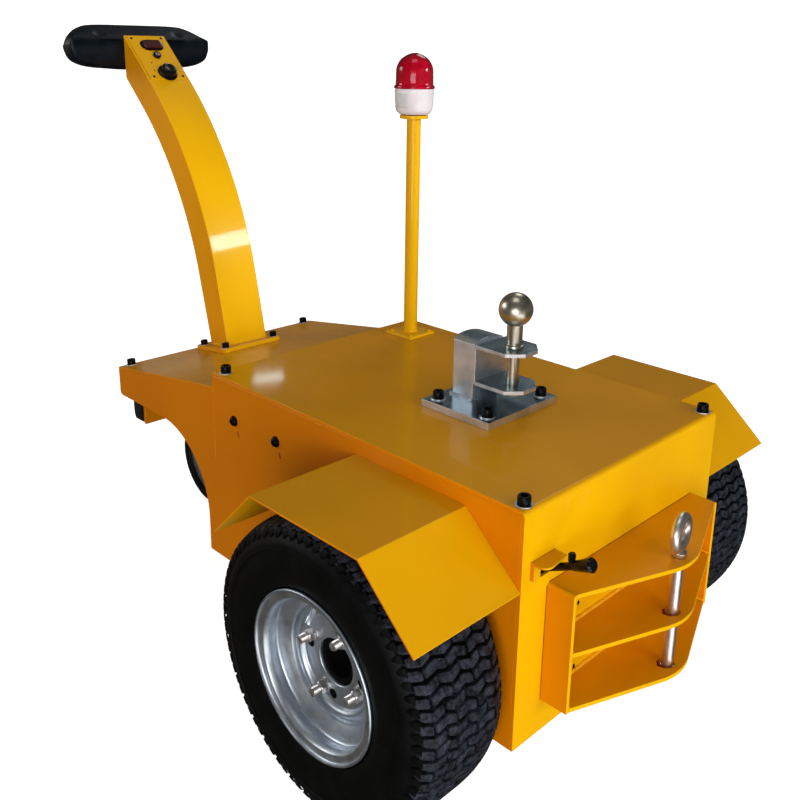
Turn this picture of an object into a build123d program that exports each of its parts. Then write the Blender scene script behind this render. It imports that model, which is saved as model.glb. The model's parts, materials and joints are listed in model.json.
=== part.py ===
from build123d import *
import os
from math import atan2, cos, degrees, radians, sin, sqrt, tan

# Walk-behind electric tow tug: two driven wheels under a battery box, a swivel castor under
# the sloping tail, a curved tiller post, a tow ball on the deck and a pin jaw on the front.
# Millimetres. While it is modelled, X = 0 is the outer face of the front plate, +X points at
# the pin jaw, Y = 0 is the middle of the machine and Z = 0 is the floor. save() then moves
# every piece by origin_shift(), which centres the whole machine on X = 0.

# ---- sheet and plate thicknesses ----
BODY_SHEET = 5.0
TAIL_SHEET = 4.0
FENDER_SHEET = 3.0
JAW_PLATE = 6.0
JAW_FOLD = 5.0            # outside radius of the fold between the jaw's side and its top
TILLER_WALL = 3.0
GAP = 0.3                 # between pieces that touch on different bodies
RUNNING_FIT = 0.05        # between a shaft and its bore, on the radius

# ---- battery box ----
BOX_HALF_WIDTH = 229.0
BOX_LENGTH = 648.0
DECK_TOP = 446.0
BOX_BOTTOM = 113.0
DECK_BEND = 8.0           # outside radius of the fold between deck and front

# ---- sloping tail ----
TAIL_STEP = 24.0          # the tail starts this far below the deck
TAIL_LENGTH = 320.0
TAIL_DROP = 50.0
SKIRT_BOTTOM = 317.0
SKIRT_CORNER = 8.0
ARCH_RADIUS = 143.0
WELL_WALL_STEP = 27.0     # the wall in front of the castor stands this far behind the box
TAIL_LIP_THICKNESS = 8.0
TAIL_LIP_HALF_WIDTH = 184.0
BUMPER_DEPTH = 32.0
BUMPER_HEIGHT = 70.0
BUMPER_HALF_WIDTH = 170.0

# ---- drive wheels ----
WHEEL_X = -195.0
WHEEL_CLEARANCE = 16.5    # between the box's side and the tyre
TYRE_RADIUS = 203.0
TYRE_HALF_WIDTH = 77.5
TREAD_INSET = 10.5        # each side of the tread, from the tyre's widest part
TREAD_DEPTH = 14.0        # rubber under the crown
SHOULDER_DROP = 9.0
SHOULDER_WIDTH = 11.0
SIDEWALL_RADIUS = 157.0   # where the tyre is widest
RIM_FLANGE_RADIUS = 115.0
RIM_FLANGE_WIDTH = 8.5
RIM_INSET = 2.8           # the rim's edge, inboard of the tyre's widest part
BEAD_RADIUS = 101.6
BEAD_WIDTH = 15.5
WELL_RADIUS = 82.0
WELL_SLOPE = 8.0
RIM_SHEET = 3.2
DISC_OFFSET = 14.0        # outer face of the wheel disc, outboard of the tyre's middle
DISC_THICKNESS = 4.0
DISC_RIDGE = 6.0          # the disc's outer ring stands this much further out
DISC_RIDGE_RADIUS = 66.0
DISC_BORE_RADIUS = 32.0
STUD_CIRCLE_RADIUS = 50.0
STUD_COUNT = 4
STUD_ANGLE = -25.0
STUD_RADIUS = 6.0
STUD_LENGTH = 24.0        # outside the disc
NUT_RADIUS = 10.4
NUT_HEIGHT = 10.0
AXLE_TUBE_RADIUS = 32.0
HUB_RADIUS = 66.0
HUB_BORE_RADIUS = 24.0
HUB_BORE_DEPTH = 20.0
HUB_FLANGE_THICKNESS = 12.0
HUB_BARREL_RADIUS = 40.0
HUB_LENGTH = 74.0
STUB_RADIUS = 17.5        # shaft in the hub
GEAR_CASE_RADIUS = 72.0
GEAR_CASE_Y = (-60.0, 70.0)
MOTOR_RADIUS = 55.0
MOTOR_LENGTH = 100.0
BATTERY_LENGTH = 310.0
BATTERY_WIDTH = 380.0
BATTERY_HEIGHT = 240.0
BATTERY_CLEARANCE = 8.0   # behind the batteries

# ---- fenders ----
FENDER_TOP = 421.0
FENDER_MARGIN = 7.5       # outside the tyre
FENDER_FRONT_LOW = 340.0
FENDER_FOLD_FRONT_X = -91.0
FENDER_FOLD_REAR_X = -295.0
FENDER_REAR_X = -378.5
FENDER_REAR_LOW = 338.0

# ---- pin jaw on the front ----
JAW_INSET = 52.3          # from the box's side
JAW_SIDE_DEPTH = 41.0
JAW_NOSE_APEX = 104.5
JAW_NOSE_RADIUS = 95.0
JAW_TOP = 332.0
JAW_MIDDLE = 249.0
JAW_BOTTOM = 163.0
PIN_X = 79.0
PIN_RADIUS = 8.0
PIN_HOLE_CLEARANCE = 1.5
PIN_TAIL = 14.0           # the pin shows this much below the bottom plate
PIN_RING_RADIUS = 22.5
PIN_RING_WIRE = 5.0
PIN_RING_TURN = 8.0
PIN_COLLAR_RADIUS = 10.5
PIN_COLLAR_HEIGHT = 8.0

# ---- hand lever beside the jaw ----
LEVER_INSET = 51.0        # from the box's side
LEVER_RISE = 26.0
HOOD_INSET = 40.0
HOOD_WIDTH = 48.0
HOOD_DEPTH = 25.0
HOOD_TAPER = 6.0          # the hood is this much shallower at its inner end
HOOD_CORNER = 12.0
HOOD_TOP = 375.0
HOOD_SHEET = 3.0
HOOD_LEG_DEPTH = 6.0
HOOD_LEG_HEIGHT = 24.0
SLOT_HALF_WIDTH = 13.0
LEVER_START_Z = 354.5
LEVER_NECK_RADIUS = 5.0
LEVER_NECK_INSIDE = 16.0
LEVER_GRIP_START = 42.0
LEVER_GRIP_END = 72.0
LEVER_GRIP_FOOT_RADIUS = 6.0
LEVER_GRIP_RADIUS = 9.5
LEVER_BOLT_RADIUS = 4.0
LEVER_BOLT_HEIGHT = 11.0

# ---- tow ball and its bracket ----
BALL_PLATE_REAR_X = -315.0
BALL_PLATE_LENGTH = 131.0
BALL_PLATE_HALF_WIDTH = 80.0
BALL_PLATE_THICKNESS = 12.0
UPRIGHT_INSET = 15.0      # from the plate's rear edge
UPRIGHT_DEPTH = 44.0
UPRIGHT_HALF_WIDTH = 33.0
UPRIGHT_HEIGHT = 88.0     # above the plate, at the shoulders
UPRIGHT_CROWN = 6.0       # the top rises this much to the middle
UPRIGHT_WALL = 8.0
CLEVIS_DEPTH = 81.0
CLEVIS_HALF_WIDTH = 36.0
CLEVIS_SHEET = 6.0
CLEVIS_STAND = 27.3       # under the lower flange
CLEVIS_HEIGHT = 62.0
CLEVIS_CHAMFER = (20.0, 22.0)
BALL_X = -208.0
BALL_RADIUS = 25.0
BALL_RISE = 56.5          # the ball's middle above the clevis
BALL_NECK_RADIUS = 11.5
BALL_COLLAR_RADIUS = 14.0
BALL_COLLAR_HEIGHT = 4.0
BALL_SHANK_RADIUS = 9.0
BALL_NUT_RADIUS = 16.0
BALL_NUT_HEIGHT = 10.0

# ---- beacon ----
BEACON_INSET_X = 64.0     # from the deck's rear edge
BEACON_INSET_Y = 65.0     # from the box's side
BEACON_FOOT = 64.0
BEACON_FOOT_THICKNESS = 5.0
POLE_RADIUS = 12.5
POLE_WALL = 2.0
POLE_TOP = 841.0
BEACON_DISC_RADIUS = 25.0
BEACON_DISC_THICKNESS = 6.0
BEACON_BASE_RADIUS = 34.7
BEACON_BASE_TAPER = 4.0
BEACON_BASE_HEIGHT = 43.5
LENS_FLANGE_RADIUS = 35.7
LENS_FLANGE_HEIGHT = 5.0
LENS_RADIUS = 33.0
LENS_SHOULDER_HEIGHT = 33.0
LENS_HEIGHT = 60.0
LENS_WALL = 2.5

# ---- tiller post, panel and handle ----
TILLER_HALF_WIDTH = 46.0
TILLER_END_OVERHANG = 239.0         # behind the tail's end
TILLER_FRONT_INSET = 93.0           # the front's foot, ahead of the tail's end
TILLER_FRONT_LEAN = (12.7, 47.5)    # degrees back from upright, at the foot and at the top
TILLER_FRONT_BEND_Z = 522.0
TILLER_FRONT_RADIUS = 720.0
TILLER_REAR_INSET = 35.0
TILLER_REAR_LEAN = (14.1, 47.0)
TILLER_REAR_BEND_Z = 523.0
TILLER_REAR_RADIUS = 657.0
TILLER_PLATE_FRONT_INSET = 114.0
TILLER_PLATE_REAR_INSET = 12.0
TILLER_PLATE_HALF_WIDTH = 67.0
TILLER_PLATE_THICKNESS = 8.0
TILLER_PLATE_CORNER = 8.0
PANEL_THICKNESS = 1.5
PANEL_LENGTH = 122.0
PANEL_TOP_MARGIN = 3.0
PANEL_SIDE_MARGIN = 8.0
PANEL_ASIDE = 4.0
# each control's place is its distance down from the tiller's top edge, then across
ROCKER_PLACE = (28.0, 3.0)
ROCKER_BEZEL = (27.0, 46.0, 3.0)
ROCKER_KEY = (19.0, 36.0, 8.0)
KEY_PLACE = (54.0, 4.0)
KEY_RADIUS = 8.0
KEY_HEIGHT = 6.0
KEY_SLOT = (9.0, 2.0, 3.0)
KNOB_PLACE = (104.0, 6.0)
KNOB_SKIRT_RADIUS = 20.0
KNOB_SKIRT_HEIGHT = 5.0
KNOB_GRIP_RADIUS = 16.0
KNOB_HEIGHT = 16.0
HANDLE_HALF_SPAN = 151.0
HANDLE_LOW = 906.0
HANDLE_DEPTH = 44.0
HANDLE_SLOPE = 34.0       # the top rises to the rear at this angle
HANDLE_LOBE_RADIUS = 14.0
# right half of the handle's front view, from below: in from the lobe's end, up from the foot
HANDLE_VIEW = ((89.0, 10.5), (33.0, 20.0), (3.0, 37.0), (0.0, 55.0), (21.0, 76.0), (54.0, 88.5),
               (81.0, 90.5))
HANDLE_EDGE_RADIUS = 5.0

# ---- castor ----
CASTOR_RADIUS = 100.0
CASTOR_WIDTH = 50.0
CASTOR_TRAIL = 60.0
CASTOR_INSET = 28.0       # the swivel axis, ahead of the tail's end
CASTOR_PLATE_TOP = 238.0
CASTOR_PLATE_THICKNESS = 6.0
CASTOR_PLATE_LENGTH = 104.0
CASTOR_PLATE_WIDTH = 110.0
CASTOR_FORK_SHEET = 5.0
CASTOR_FORK_GAP = 5.0     # each side of the castor wheel
CASTOR_CROWN_TOP = 214.0
CASTOR_CROWN_SHEET = 7.0
CASTOR_CROWN_HALF_LENGTH = 41.0
CASTOR_HEAD_RADIUS = 38.0
CASTOR_LEG_END = 20.0     # the legs' rounded end round the axle
CASTOR_LEG_SHOULDER = 50.0
CASTOR_AXLE_RADIUS = 7.5
CASTOR_AXLE_NUT_RADIUS = 13.0
CASTOR_AXLE_NUT_HEIGHT = 8.0
CASTOR_TREAD = 20.0
CASTOR_TYRE_CROWN = 7.0
CASTOR_RECESS = 8.0       # of the wheel's disc, from the tyre's side
CASTOR_HUB_RADIUS = 22.0
CASTOR_HUB_STAND = 3.0    # the hub stands out from the tyre's side
MOUNT_HALF_WIDTH = 60.0
MOUNT_LENGTH = 83.0
MOUNT_SHEET = 6.0

# ---- what follows from the sizes above ----
INNER_HALF_WIDTH = BOX_HALF_WIDTH - BODY_SHEET
DECK_UNDER = DECK_TOP - BODY_SHEET
TAIL_START_X = -BOX_LENGTH
TAIL_END_X = TAIL_START_X - TAIL_LENGTH
WELL_WALL_X = TAIL_START_X - WELL_WALL_STEP
WHEEL_HALF_TRACK = BOX_HALF_WIDTH + WHEEL_CLEARANCE + TYRE_HALF_WIDTH
TREAD_HALF_WIDTH = TYRE_HALF_WIDTH - TREAD_INSET
RIM_HALF_WIDTH = TYRE_HALF_WIDTH - RIM_INSET
FENDER_OUTER_Y = WHEEL_HALF_TRACK + TYRE_HALF_WIDTH + FENDER_MARGIN
JAW_HALF_WIDTH = BOX_HALF_WIDTH - JAW_INSET
LEVER_Y = LEVER_INSET - BOX_HALF_WIDTH
HOOD_Y = HOOD_INSET - BOX_HALF_WIDTH
BALL_PLATE_TOP = DECK_TOP + BALL_PLATE_THICKNESS
CLEVIS_REAR_X = BALL_PLATE_REAR_X + UPRIGHT_INSET + UPRIGHT_DEPTH
CLEVIS_BOTTOM = BALL_PLATE_TOP + CLEVIS_STAND
CLEVIS_TOP = CLEVIS_BOTTOM + CLEVIS_HEIGHT
BALL_Z = CLEVIS_TOP + BALL_RISE
BEACON_X = TAIL_START_X + BEACON_INSET_X
BEACON_Y = BOX_HALF_WIDTH - BEACON_INSET_Y
TILLER_END_X = TAIL_END_X - TILLER_END_OVERHANG
MOUNT_FRONT_X = TAIL_END_X + MOUNT_LENGTH
TAIL_SLOPE = TAIL_DROP / TAIL_LENGTH
TAIL_ANGLE = degrees(atan2(TAIL_DROP, TAIL_LENGTH))
MOUNT_UNDER = CASTOR_PLATE_TOP
LIP_BOTTOM = MOUNT_UNDER + MOUNT_SHEET
CASTOR_AXIS_X = TAIL_END_X + CASTOR_INSET
CASTOR_WHEEL_X = CASTOR_AXIS_X - CASTOR_TRAIL
PIN_HOLE_RADIUS = PIN_RADIUS + PIN_HOLE_CLEARANCE


def tail_top(x):
    """Height of the tail plate's upper face at x."""
    return DECK_TOP - TAIL_STEP + (x - TAIL_START_X) * TAIL_SLOPE


def tail_under(x):
    return tail_top(x) - TAIL_SHEET


def block(x0, x1, y0, y1, z0, z1):
    """A box between two corners."""
    size = Box(x1 - x0, y1 - y0, z1 - z0)
    return size.moved(Location(((x0 + x1) / 2, (y0 + y1) / 2, (z0 + z1) / 2)))


def rod(radius, start, end):
    """A round bar between two points."""
    a = Vector(*start)
    axis = Vector(*end) - a
    plane = Plane(origin=a, z_dir=axis)
    return extrude(plane * Circle(radius), axis.length)


def hexagon_nut(radius, start, end):
    """A six-sided nut or bolt head between two points, by its corner radius."""
    a = Vector(*start)
    axis = Vector(*end) - a
    plane = Plane(origin=a, z_dir=axis)
    return extrude(plane * RegularPolygon(radius, 6), axis.length)


def side_outline(points):
    """A face in the XZ plane from (x, z) points."""
    wire = Polyline(*[(x, 0, z) for x, z in points], close=True)
    return make_face(wire)


def across(face, y0, y1):
    """Extrudes a face of the XZ plane from y0 to y1."""
    return extrude(face.moved(Location((0, y0, 0))), y1 - y0, dir=(0, 1, 0))


def origin_shift():
    """Half way between the handle's rear and the jaw's nose, to put X = 0 in the middle."""
    rear = handle().bounding_box().min.X
    front = jaw_shelf(JAW_BOTTOM).bounding_box().max.X
    return -(rear + front) / 2


def save(name, shape):
    export_step(shape.moved(Location((origin_shift(), 0, 0))), f"parts/{name}.step")


# ---------------------------------------------------------------- battery box and tail
def deck_sheet():
    """Deck and front face, one folded sheet."""
    path = [
        (-BOX_LENGTH, DECK_UNDER),
        (-BOX_LENGTH, DECK_TOP),
        (0, DECK_TOP),
        (0, BOX_BOTTOM),
        (-BODY_SHEET, BOX_BOTTOM),
        (-BODY_SHEET, DECK_UNDER),
    ]
    sheet = across(side_outline(path), -BOX_HALF_WIDTH, BOX_HALF_WIDTH)
    fold = sheet.edges().filter_by(Axis.Y).sort_by(lambda e: e.center().X + e.center().Z)[-1]
    sheet = fillet(fold, DECK_BEND)
    rise = radians(LEVER_RISE)
    lever_under = LEVER_START_Z - BODY_SHEET * tan(rise) - LEVER_NECK_RADIUS / cos(rise)
    slot = block(-BODY_SHEET - 1, 1, LEVER_Y - SLOT_HALF_WIDTH, LEVER_Y + SLOT_HALF_WIDTH,
                 lever_under - GAP, HOOD_TOP - HOOD_SHEET)
    return sheet - slot


def side_plate(side):
    """Side of the box with the tail's skirt and the arch over the castor."""
    arch_x = WELL_WALL_X - ARCH_RADIUS
    corners = [
        (-BODY_SHEET, BOX_BOTTOM),
        (-BODY_SHEET, DECK_UNDER),
        (TAIL_START_X, DECK_UNDER),
        (TAIL_START_X, tail_under(TAIL_START_X)),
        (TAIL_END_X, tail_under(TAIL_END_X)),
        (TAIL_END_X, SKIRT_BOTTOM),
        (arch_x, SKIRT_BOTTOM),
        (WELL_WALL_X, SKIRT_BOTTOM - ARCH_RADIUS),
        (WELL_WALL_X, BOX_BOTTOM),
    ]
    lines = [Line((a[0], 0, a[1]), (b[0], 0, b[1]))
             for a, b in zip(corners, corners[1:] + corners[:1])]
    middle = radians(45)
    lines[6] = ThreePointArc(
        (arch_x, 0, SKIRT_BOTTOM),
        (arch_x + ARCH_RADIUS * sin(middle), 0, SKIRT_BOTTOM - ARCH_RADIUS * (1 - cos(middle))),
        (WELL_WALL_X, 0, SKIRT_BOTTOM - ARCH_RADIUS),
    )
    face = make_face(lines)
    y0 = INNER_HALF_WIDTH if side > 0 else -BOX_HALF_WIDTH
    plate = across(face, y0, y0 + BODY_SHEET)
    corner = plate.edges().filter_by(Axis.Y).sort_by_distance((TAIL_END_X, y0, SKIRT_BOTTOM))[0]
    plate = fillet(corner, SKIRT_CORNER)
    return plate - rod(AXLE_TUBE_RADIUS + GAP, (WHEEL_X, y0 - 1, TYRE_RADIUS),
                       (WHEEL_X, y0 + BODY_SHEET + 1, TYRE_RADIUS))


def floor_plate():
    return block(WELL_WALL_X + BODY_SHEET, -BODY_SHEET, -INNER_HALF_WIDTH, INNER_HALF_WIDTH,
                 BOX_BOTTOM, BOX_BOTTOM + BODY_SHEET)


def well_wall():
    """Wall between the battery box and the castor's space."""
    x1 = WELL_WALL_X + BODY_SHEET
    points = [
        (WELL_WALL_X, BOX_BOTTOM),
        (WELL_WALL_X, tail_under(WELL_WALL_X)),
        (x1, tail_under(x1)),
        (x1, BOX_BOTTOM),
    ]
    return across(side_outline(points), -INNER_HALF_WIDTH, INNER_HALF_WIDTH)


def tail_plate():
    """Sloping sheet, its front edge folded up to the deck."""
    x1 = TAIL_START_X + TAIL_SHEET
    points = [
        (x1, DECK_UNDER),
        (TAIL_START_X, DECK_UNDER),
        (TAIL_START_X, tail_top(TAIL_START_X)),
        (TAIL_END_X, tail_top(TAIL_END_X)),
        (TAIL_END_X, tail_under(TAIL_END_X)),
        (TAIL_START_X, tail_under(TAIL_START_X)),
        (x1, tail_under(TAIL_START_X)),
    ]
    sheet = across(side_outline(points), -INNER_HALF_WIDTH, INNER_HALF_WIDTH)
    wings = [
        (TAIL_START_X, tail_under(TAIL_START_X)),
        (TAIL_START_X, tail_top(TAIL_START_X)),
        (TAIL_END_X, tail_top(TAIL_END_X)),
        (TAIL_END_X, tail_under(TAIL_END_X)),
    ]
    return sheet + across(side_outline(wings), -BOX_HALF_WIDTH, BOX_HALF_WIDTH)


def tail_lip():
    """Cross plate that closes the tail's rear end."""
    x1 = TAIL_END_X + TAIL_LIP_THICKNESS
    points = [
        (TAIL_END_X, LIP_BOTTOM),
        (TAIL_END_X, tail_under(TAIL_END_X)),
        (x1, tail_under(x1)),
        (x1, LIP_BOTTOM),
    ]
    return across(side_outline(points), -TAIL_LIP_HALF_WIDTH, TAIL_LIP_HALF_WIDTH)


def rear_bumper():
    pad = block(TAIL_END_X - BUMPER_DEPTH, TAIL_END_X, -BUMPER_HALF_WIDTH, BUMPER_HALF_WIDTH,
                LIP_BOTTOM, LIP_BOTTOM + BUMPER_HEIGHT)
    rear = pad.faces().sort_by(Axis.X)[0]
    return fillet(rear.edges(), BUMPER_DEPTH / 4)


def castor_mount():
    """Channel welded under the tail that carries the castor's plate."""
    rear = TAIL_END_X + TAIL_LIP_THICKNESS
    points = [
        (rear, LIP_BOTTOM),
        (rear, tail_under(rear)),
        (MOUNT_FRONT_X, tail_under(MOUNT_FRONT_X)),
        (MOUNT_FRONT_X, LIP_BOTTOM),
    ]
    shell = across(side_outline(points), -MOUNT_HALF_WIDTH, MOUNT_HALF_WIDTH)
    hollow = block(rear - 1, MOUNT_FRONT_X + 1, -MOUNT_HALF_WIDTH + MOUNT_SHEET,
                   MOUNT_HALF_WIDTH - MOUNT_SHEET, LIP_BOTTOM - 1, DECK_TOP)
    plate_x0 = CASTOR_AXIS_X - CASTOR_PLATE_LENGTH / 2
    plate = block(plate_x0, plate_x0 + CASTOR_PLATE_LENGTH, -MOUNT_HALF_WIDTH, MOUNT_HALF_WIDTH,
                  MOUNT_UNDER, LIP_BOTTOM)
    return (shell - hollow) + plate


# ---------------------------------------------------------------- fenders
def fender(side):
    """Folded sheet over one drive wheel: front slope, flat top, rear slope."""
    top = [
        (0, FENDER_FRONT_LOW),
        (FENDER_FOLD_FRONT_X, FENDER_TOP),
        (FENDER_FOLD_REAR_X, FENDER_TOP),
        (FENDER_REAR_X, FENDER_REAR_LOW),
    ]
    front = atan2(FENDER_TOP - FENDER_FRONT_LOW, -FENDER_FOLD_FRONT_X)
    rear = atan2(FENDER_TOP - FENDER_REAR_LOW, FENDER_FOLD_REAR_X - FENDER_REAR_X)
    t = FENDER_SHEET
    under = [
        (FENDER_REAR_X + t * sin(rear), FENDER_REAR_LOW - t * cos(rear)),
        (FENDER_FOLD_REAR_X + t * tan(rear / 2), FENDER_TOP - t),
        (FENDER_FOLD_FRONT_X - t * tan(front / 2), FENDER_TOP - t),
        (-t * sin(front), FENDER_FRONT_LOW - t * cos(front)),
    ]
    y0 = BOX_HALF_WIDTH if side > 0 else -FENDER_OUTER_Y
    return across(side_outline(top + under), y0, y0 + FENDER_OUTER_Y - BOX_HALF_WIDTH)


# ---------------------------------------------------------------- pin jaw
def jaw_side(side):
    """Side of the jaw, rounded where it folds in to the top plate."""
    outer_y = side * JAW_HALF_WIDTH
    inner_y = outer_y - side * JAW_PLATE
    plate = block(0, JAW_SIDE_DEPTH, min(outer_y, inner_y), max(outer_y, inner_y),
                  JAW_BOTTOM, JAW_TOP)
    fold = plate.edges().filter_by(Axis.X).sort_by_distance((0, outer_y, JAW_TOP))[0]
    return fillet(fold, JAW_FOLD)


def jaw_shelf(under):
    """One level plate of the jaw, with a rounded nose and a hole for the pin."""
    half = JAW_HALF_WIDTH - JAW_PLATE
    outline = [
        (0, -half),
        (JAW_SIDE_DEPTH, -half),
        (JAW_NOSE_APEX, 0),
        (JAW_SIDE_DEPTH, half),
        (0, half),
    ]
    plate = extrude(make_face(Polyline(*outline, close=True)), JAW_PLATE)
    nose = plate.edges().filter_by(Axis.Z).sort_by(Axis.X)[-1]
    plate = fillet(nose, JAW_NOSE_RADIUS)
    plate = plate - rod(PIN_HOLE_RADIUS, (PIN_X, 0, -1), (PIN_X, 0, JAW_PLATE + 1))
    return plate.moved(Location((0, 0, under)))


def hitch_pin():
    """Drop pin with a collar and a ring to lift it by."""
    collar_foot = JAW_TOP + GAP
    collar_top = collar_foot + PIN_COLLAR_HEIGHT
    shaft = rod(PIN_RADIUS, (PIN_X, 0, JAW_BOTTOM - PIN_TAIL), (PIN_X, 0, collar_top))
    tip = shaft.edges().sort_by(Axis.Z)[0]
    shaft = chamfer(tip, PIN_RADIUS / 4)
    collar = rod(PIN_COLLAR_RADIUS, (PIN_X, 0, collar_foot), (PIN_X, 0, collar_top))
    ring = Torus(PIN_RING_RADIUS, PIN_RING_WIRE)
    ring = ring.rotate(Axis.Y, 90).rotate(Axis.Z, PIN_RING_TURN)
    ring_z = collar_top + PIN_RING_RADIUS + PIN_RING_WIRE * 0.6
    return shaft + collar + ring.moved(Location((PIN_X, 0, ring_z)))


# ---------------------------------------------------------------- hand lever
def lever_hood():
    """Roof of bent sheet over the lever's slot, with a short leg down the front plate."""
    y0 = HOOD_Y - HOOD_WIDTH / 2
    y1 = HOOD_Y + HOOD_WIDTH / 2
    outline = Polyline((0, y0), (HOOD_DEPTH, y0), (HOOD_DEPTH - HOOD_TAPER, y1), (0, y1), close=True)
    roof = extrude(make_face(outline), HOOD_SHEET).moved(Location((0, 0, HOOD_TOP - HOOD_SHEET)))
    corner = roof.edges().filter_by(Axis.Z).sort_by_distance((HOOD_DEPTH, y0, HOOD_TOP))[0]
    roof = fillet(corner, HOOD_CORNER)
    leg = block(0, HOOD_LEG_DEPTH, y0, y0 + HOOD_SHEET, HOOD_TOP - HOOD_LEG_HEIGHT, HOOD_TOP)
    return roof + leg


def lever_point(distance):
    """A point on the lever's line, measured from the front plate's outer face."""
    rise = radians(LEVER_RISE)
    return (distance * cos(rise), LEVER_Y, LEVER_START_Z + distance * sin(rise))


def hand_lever():
    """Round neck with a moulded grip and the bolt that holds it."""
    neck = rod(LEVER_NECK_RADIUS, lever_point(-LEVER_NECK_INSIDE), lever_point(LEVER_GRIP_START))
    plane = Plane(origin=lever_point(LEVER_GRIP_START),
                  z_dir=Vector(*lever_point(1)) - Vector(*lever_point(0)))
    foot = plane * Circle(LEVER_GRIP_FOOT_RADIUS)
    top = plane.offset(LEVER_GRIP_END - LEVER_GRIP_START) * Circle(LEVER_GRIP_RADIUS)
    grip = loft([foot, top])
    end = grip.faces().sort_by(Axis.X)[-1]
    grip = chamfer(end.edges(), LEVER_GRIP_RADIUS / 4)
    x, y, z = lever_point(LEVER_GRIP_START - LEVER_BOLT_RADIUS)
    bolt = hexagon_nut(LEVER_BOLT_RADIUS, (x, y, z), (x, y, z + LEVER_BOLT_HEIGHT))
    return neck + grip + bolt


# ---------------------------------------------------------------- tow ball
def ball_plate():
    x1 = BALL_PLATE_REAR_X + BALL_PLATE_LENGTH
    return block(BALL_PLATE_REAR_X, x1, -BALL_PLATE_HALF_WIDTH, BALL_PLATE_HALF_WIDTH,
                 DECK_TOP, DECK_TOP + BALL_PLATE_THICKNESS)


def ball_upright():
    """Channel that stands on the plate with its back to the tail, closed by a crowned top."""
    x0 = BALL_PLATE_REAR_X + UPRIGHT_INSET
    shoulder = BALL_PLATE_TOP + UPRIGHT_HEIGHT
    half = UPRIGHT_HALF_WIDTH
    outline = make_face([
        Line((x0, -half, BALL_PLATE_TOP), (x0, -half, shoulder)),
        ThreePointArc((x0, -half, shoulder), (x0, 0, shoulder + UPRIGHT_CROWN), (x0, half, shoulder)),
        Line((x0, half, shoulder), (x0, half, BALL_PLATE_TOP)),
        Line((x0, half, BALL_PLATE_TOP), (x0, -half, BALL_PLATE_TOP)),
    ])
    body = extrude(outline, UPRIGHT_DEPTH, dir=(1, 0, 0))
    back = body.edges().filter_by(Axis.Z).sort_by(Axis.X)[:2]
    body = fillet(back, UPRIGHT_WALL)
    hollow = block(x0 + UPRIGHT_WALL, CLEVIS_REAR_X + 1, -half + UPRIGHT_WALL, half - UPRIGHT_WALL,
                   BALL_PLATE_TOP - 1, shoulder - UPRIGHT_WALL)
    return body - hollow


def ball_clevis():
    """Folded jaw that holds the ball's shank between two flanges."""
    x0 = CLEVIS_REAR_X
    x1 = x0 + CLEVIS_DEPTH
    cut_x, cut_y = CLEVIS_CHAMFER
    outline = [
        (x0, -CLEVIS_HALF_WIDTH),
        (x1 - cut_x, -CLEVIS_HALF_WIDTH),
        (x1, -CLEVIS_HALF_WIDTH + cut_y),
        (x1, CLEVIS_HALF_WIDTH - cut_y),
        (x1 - cut_x, CLEVIS_HALF_WIDTH),
        (x0, CLEVIS_HALF_WIDTH),
    ]
    body = extrude(make_face(Polyline(*outline, close=True)), CLEVIS_TOP - CLEVIS_BOTTOM)
    body = body.moved(Location((0, 0, CLEVIS_BOTTOM)))
    folds = body.edges().filter_by(Axis.Y).sort_by(Axis.X)[:2]
    body = fillet(folds, CLEVIS_SHEET * 1.5)
    mouth = block(x0 + CLEVIS_SHEET, x1 + 1, -CLEVIS_HALF_WIDTH - 1, CLEVIS_HALF_WIDTH + 1,
                  CLEVIS_BOTTOM + CLEVIS_SHEET, CLEVIS_TOP - CLEVIS_SHEET)
    body = body - mouth
    return body - rod(BALL_SHANK_RADIUS, (BALL_X, 0, CLEVIS_BOTTOM - 1), (BALL_X, 0, CLEVIS_TOP + 1))


def tow_ball():
    """Ball, neck and collar on the clevis, a shank through both flanges and a nut below."""
    ball = Sphere(BALL_RADIUS).moved(Location((BALL_X, 0, BALL_Z)))
    collar_top = CLEVIS_TOP + BALL_COLLAR_HEIGHT
    nut_foot = CLEVIS_BOTTOM - BALL_NUT_HEIGHT
    neck = rod(BALL_NECK_RADIUS, (BALL_X, 0, collar_top), (BALL_X, 0, BALL_Z))
    collar = rod(BALL_COLLAR_RADIUS, (BALL_X, 0, CLEVIS_TOP), (BALL_X, 0, collar_top))
    shank = rod(BALL_SHANK_RADIUS, (BALL_X, 0, nut_foot), (BALL_X, 0, CLEVIS_TOP))
    nut = hexagon_nut(BALL_NUT_RADIUS, (BALL_X, 0, nut_foot), (BALL_X, 0, CLEVIS_BOTTOM))
    return ball + neck + collar + shank + nut


# ---------------------------------------------------------------- beacon
def beacon_rod(radius, z0, z1):
    return rod(radius, (BEACON_X, BEACON_Y, z0), (BEACON_X, BEACON_Y, z1))


def beacon_pole():
    """Tube welded to a square foot, with the disc that the lamp stands on."""
    half = BEACON_FOOT / 2
    z0 = DECK_TOP + BEACON_FOOT_THICKNESS
    foot = block(BEACON_X - half, BEACON_X + half, BEACON_Y - half, BEACON_Y + half, DECK_TOP, z0)
    tube = beacon_rod(POLE_RADIUS, z0, POLE_TOP) - beacon_rod(POLE_RADIUS - POLE_WALL, z0, POLE_TOP)
    disc = beacon_rod(BEACON_DISC_RADIUS, POLE_TOP, POLE_TOP + BEACON_DISC_THICKNESS)
    return foot + tube + disc


def beacon_spun(z0, points):
    """Spins (radius, height) points about the beacon's pole."""
    face = make_face(Polyline(*[(r, 0, z0 + z) for r, z in points], close=True))
    return revolve(face, Axis.Z, 360).moved(Location((BEACON_X, BEACON_Y, 0)))


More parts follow.
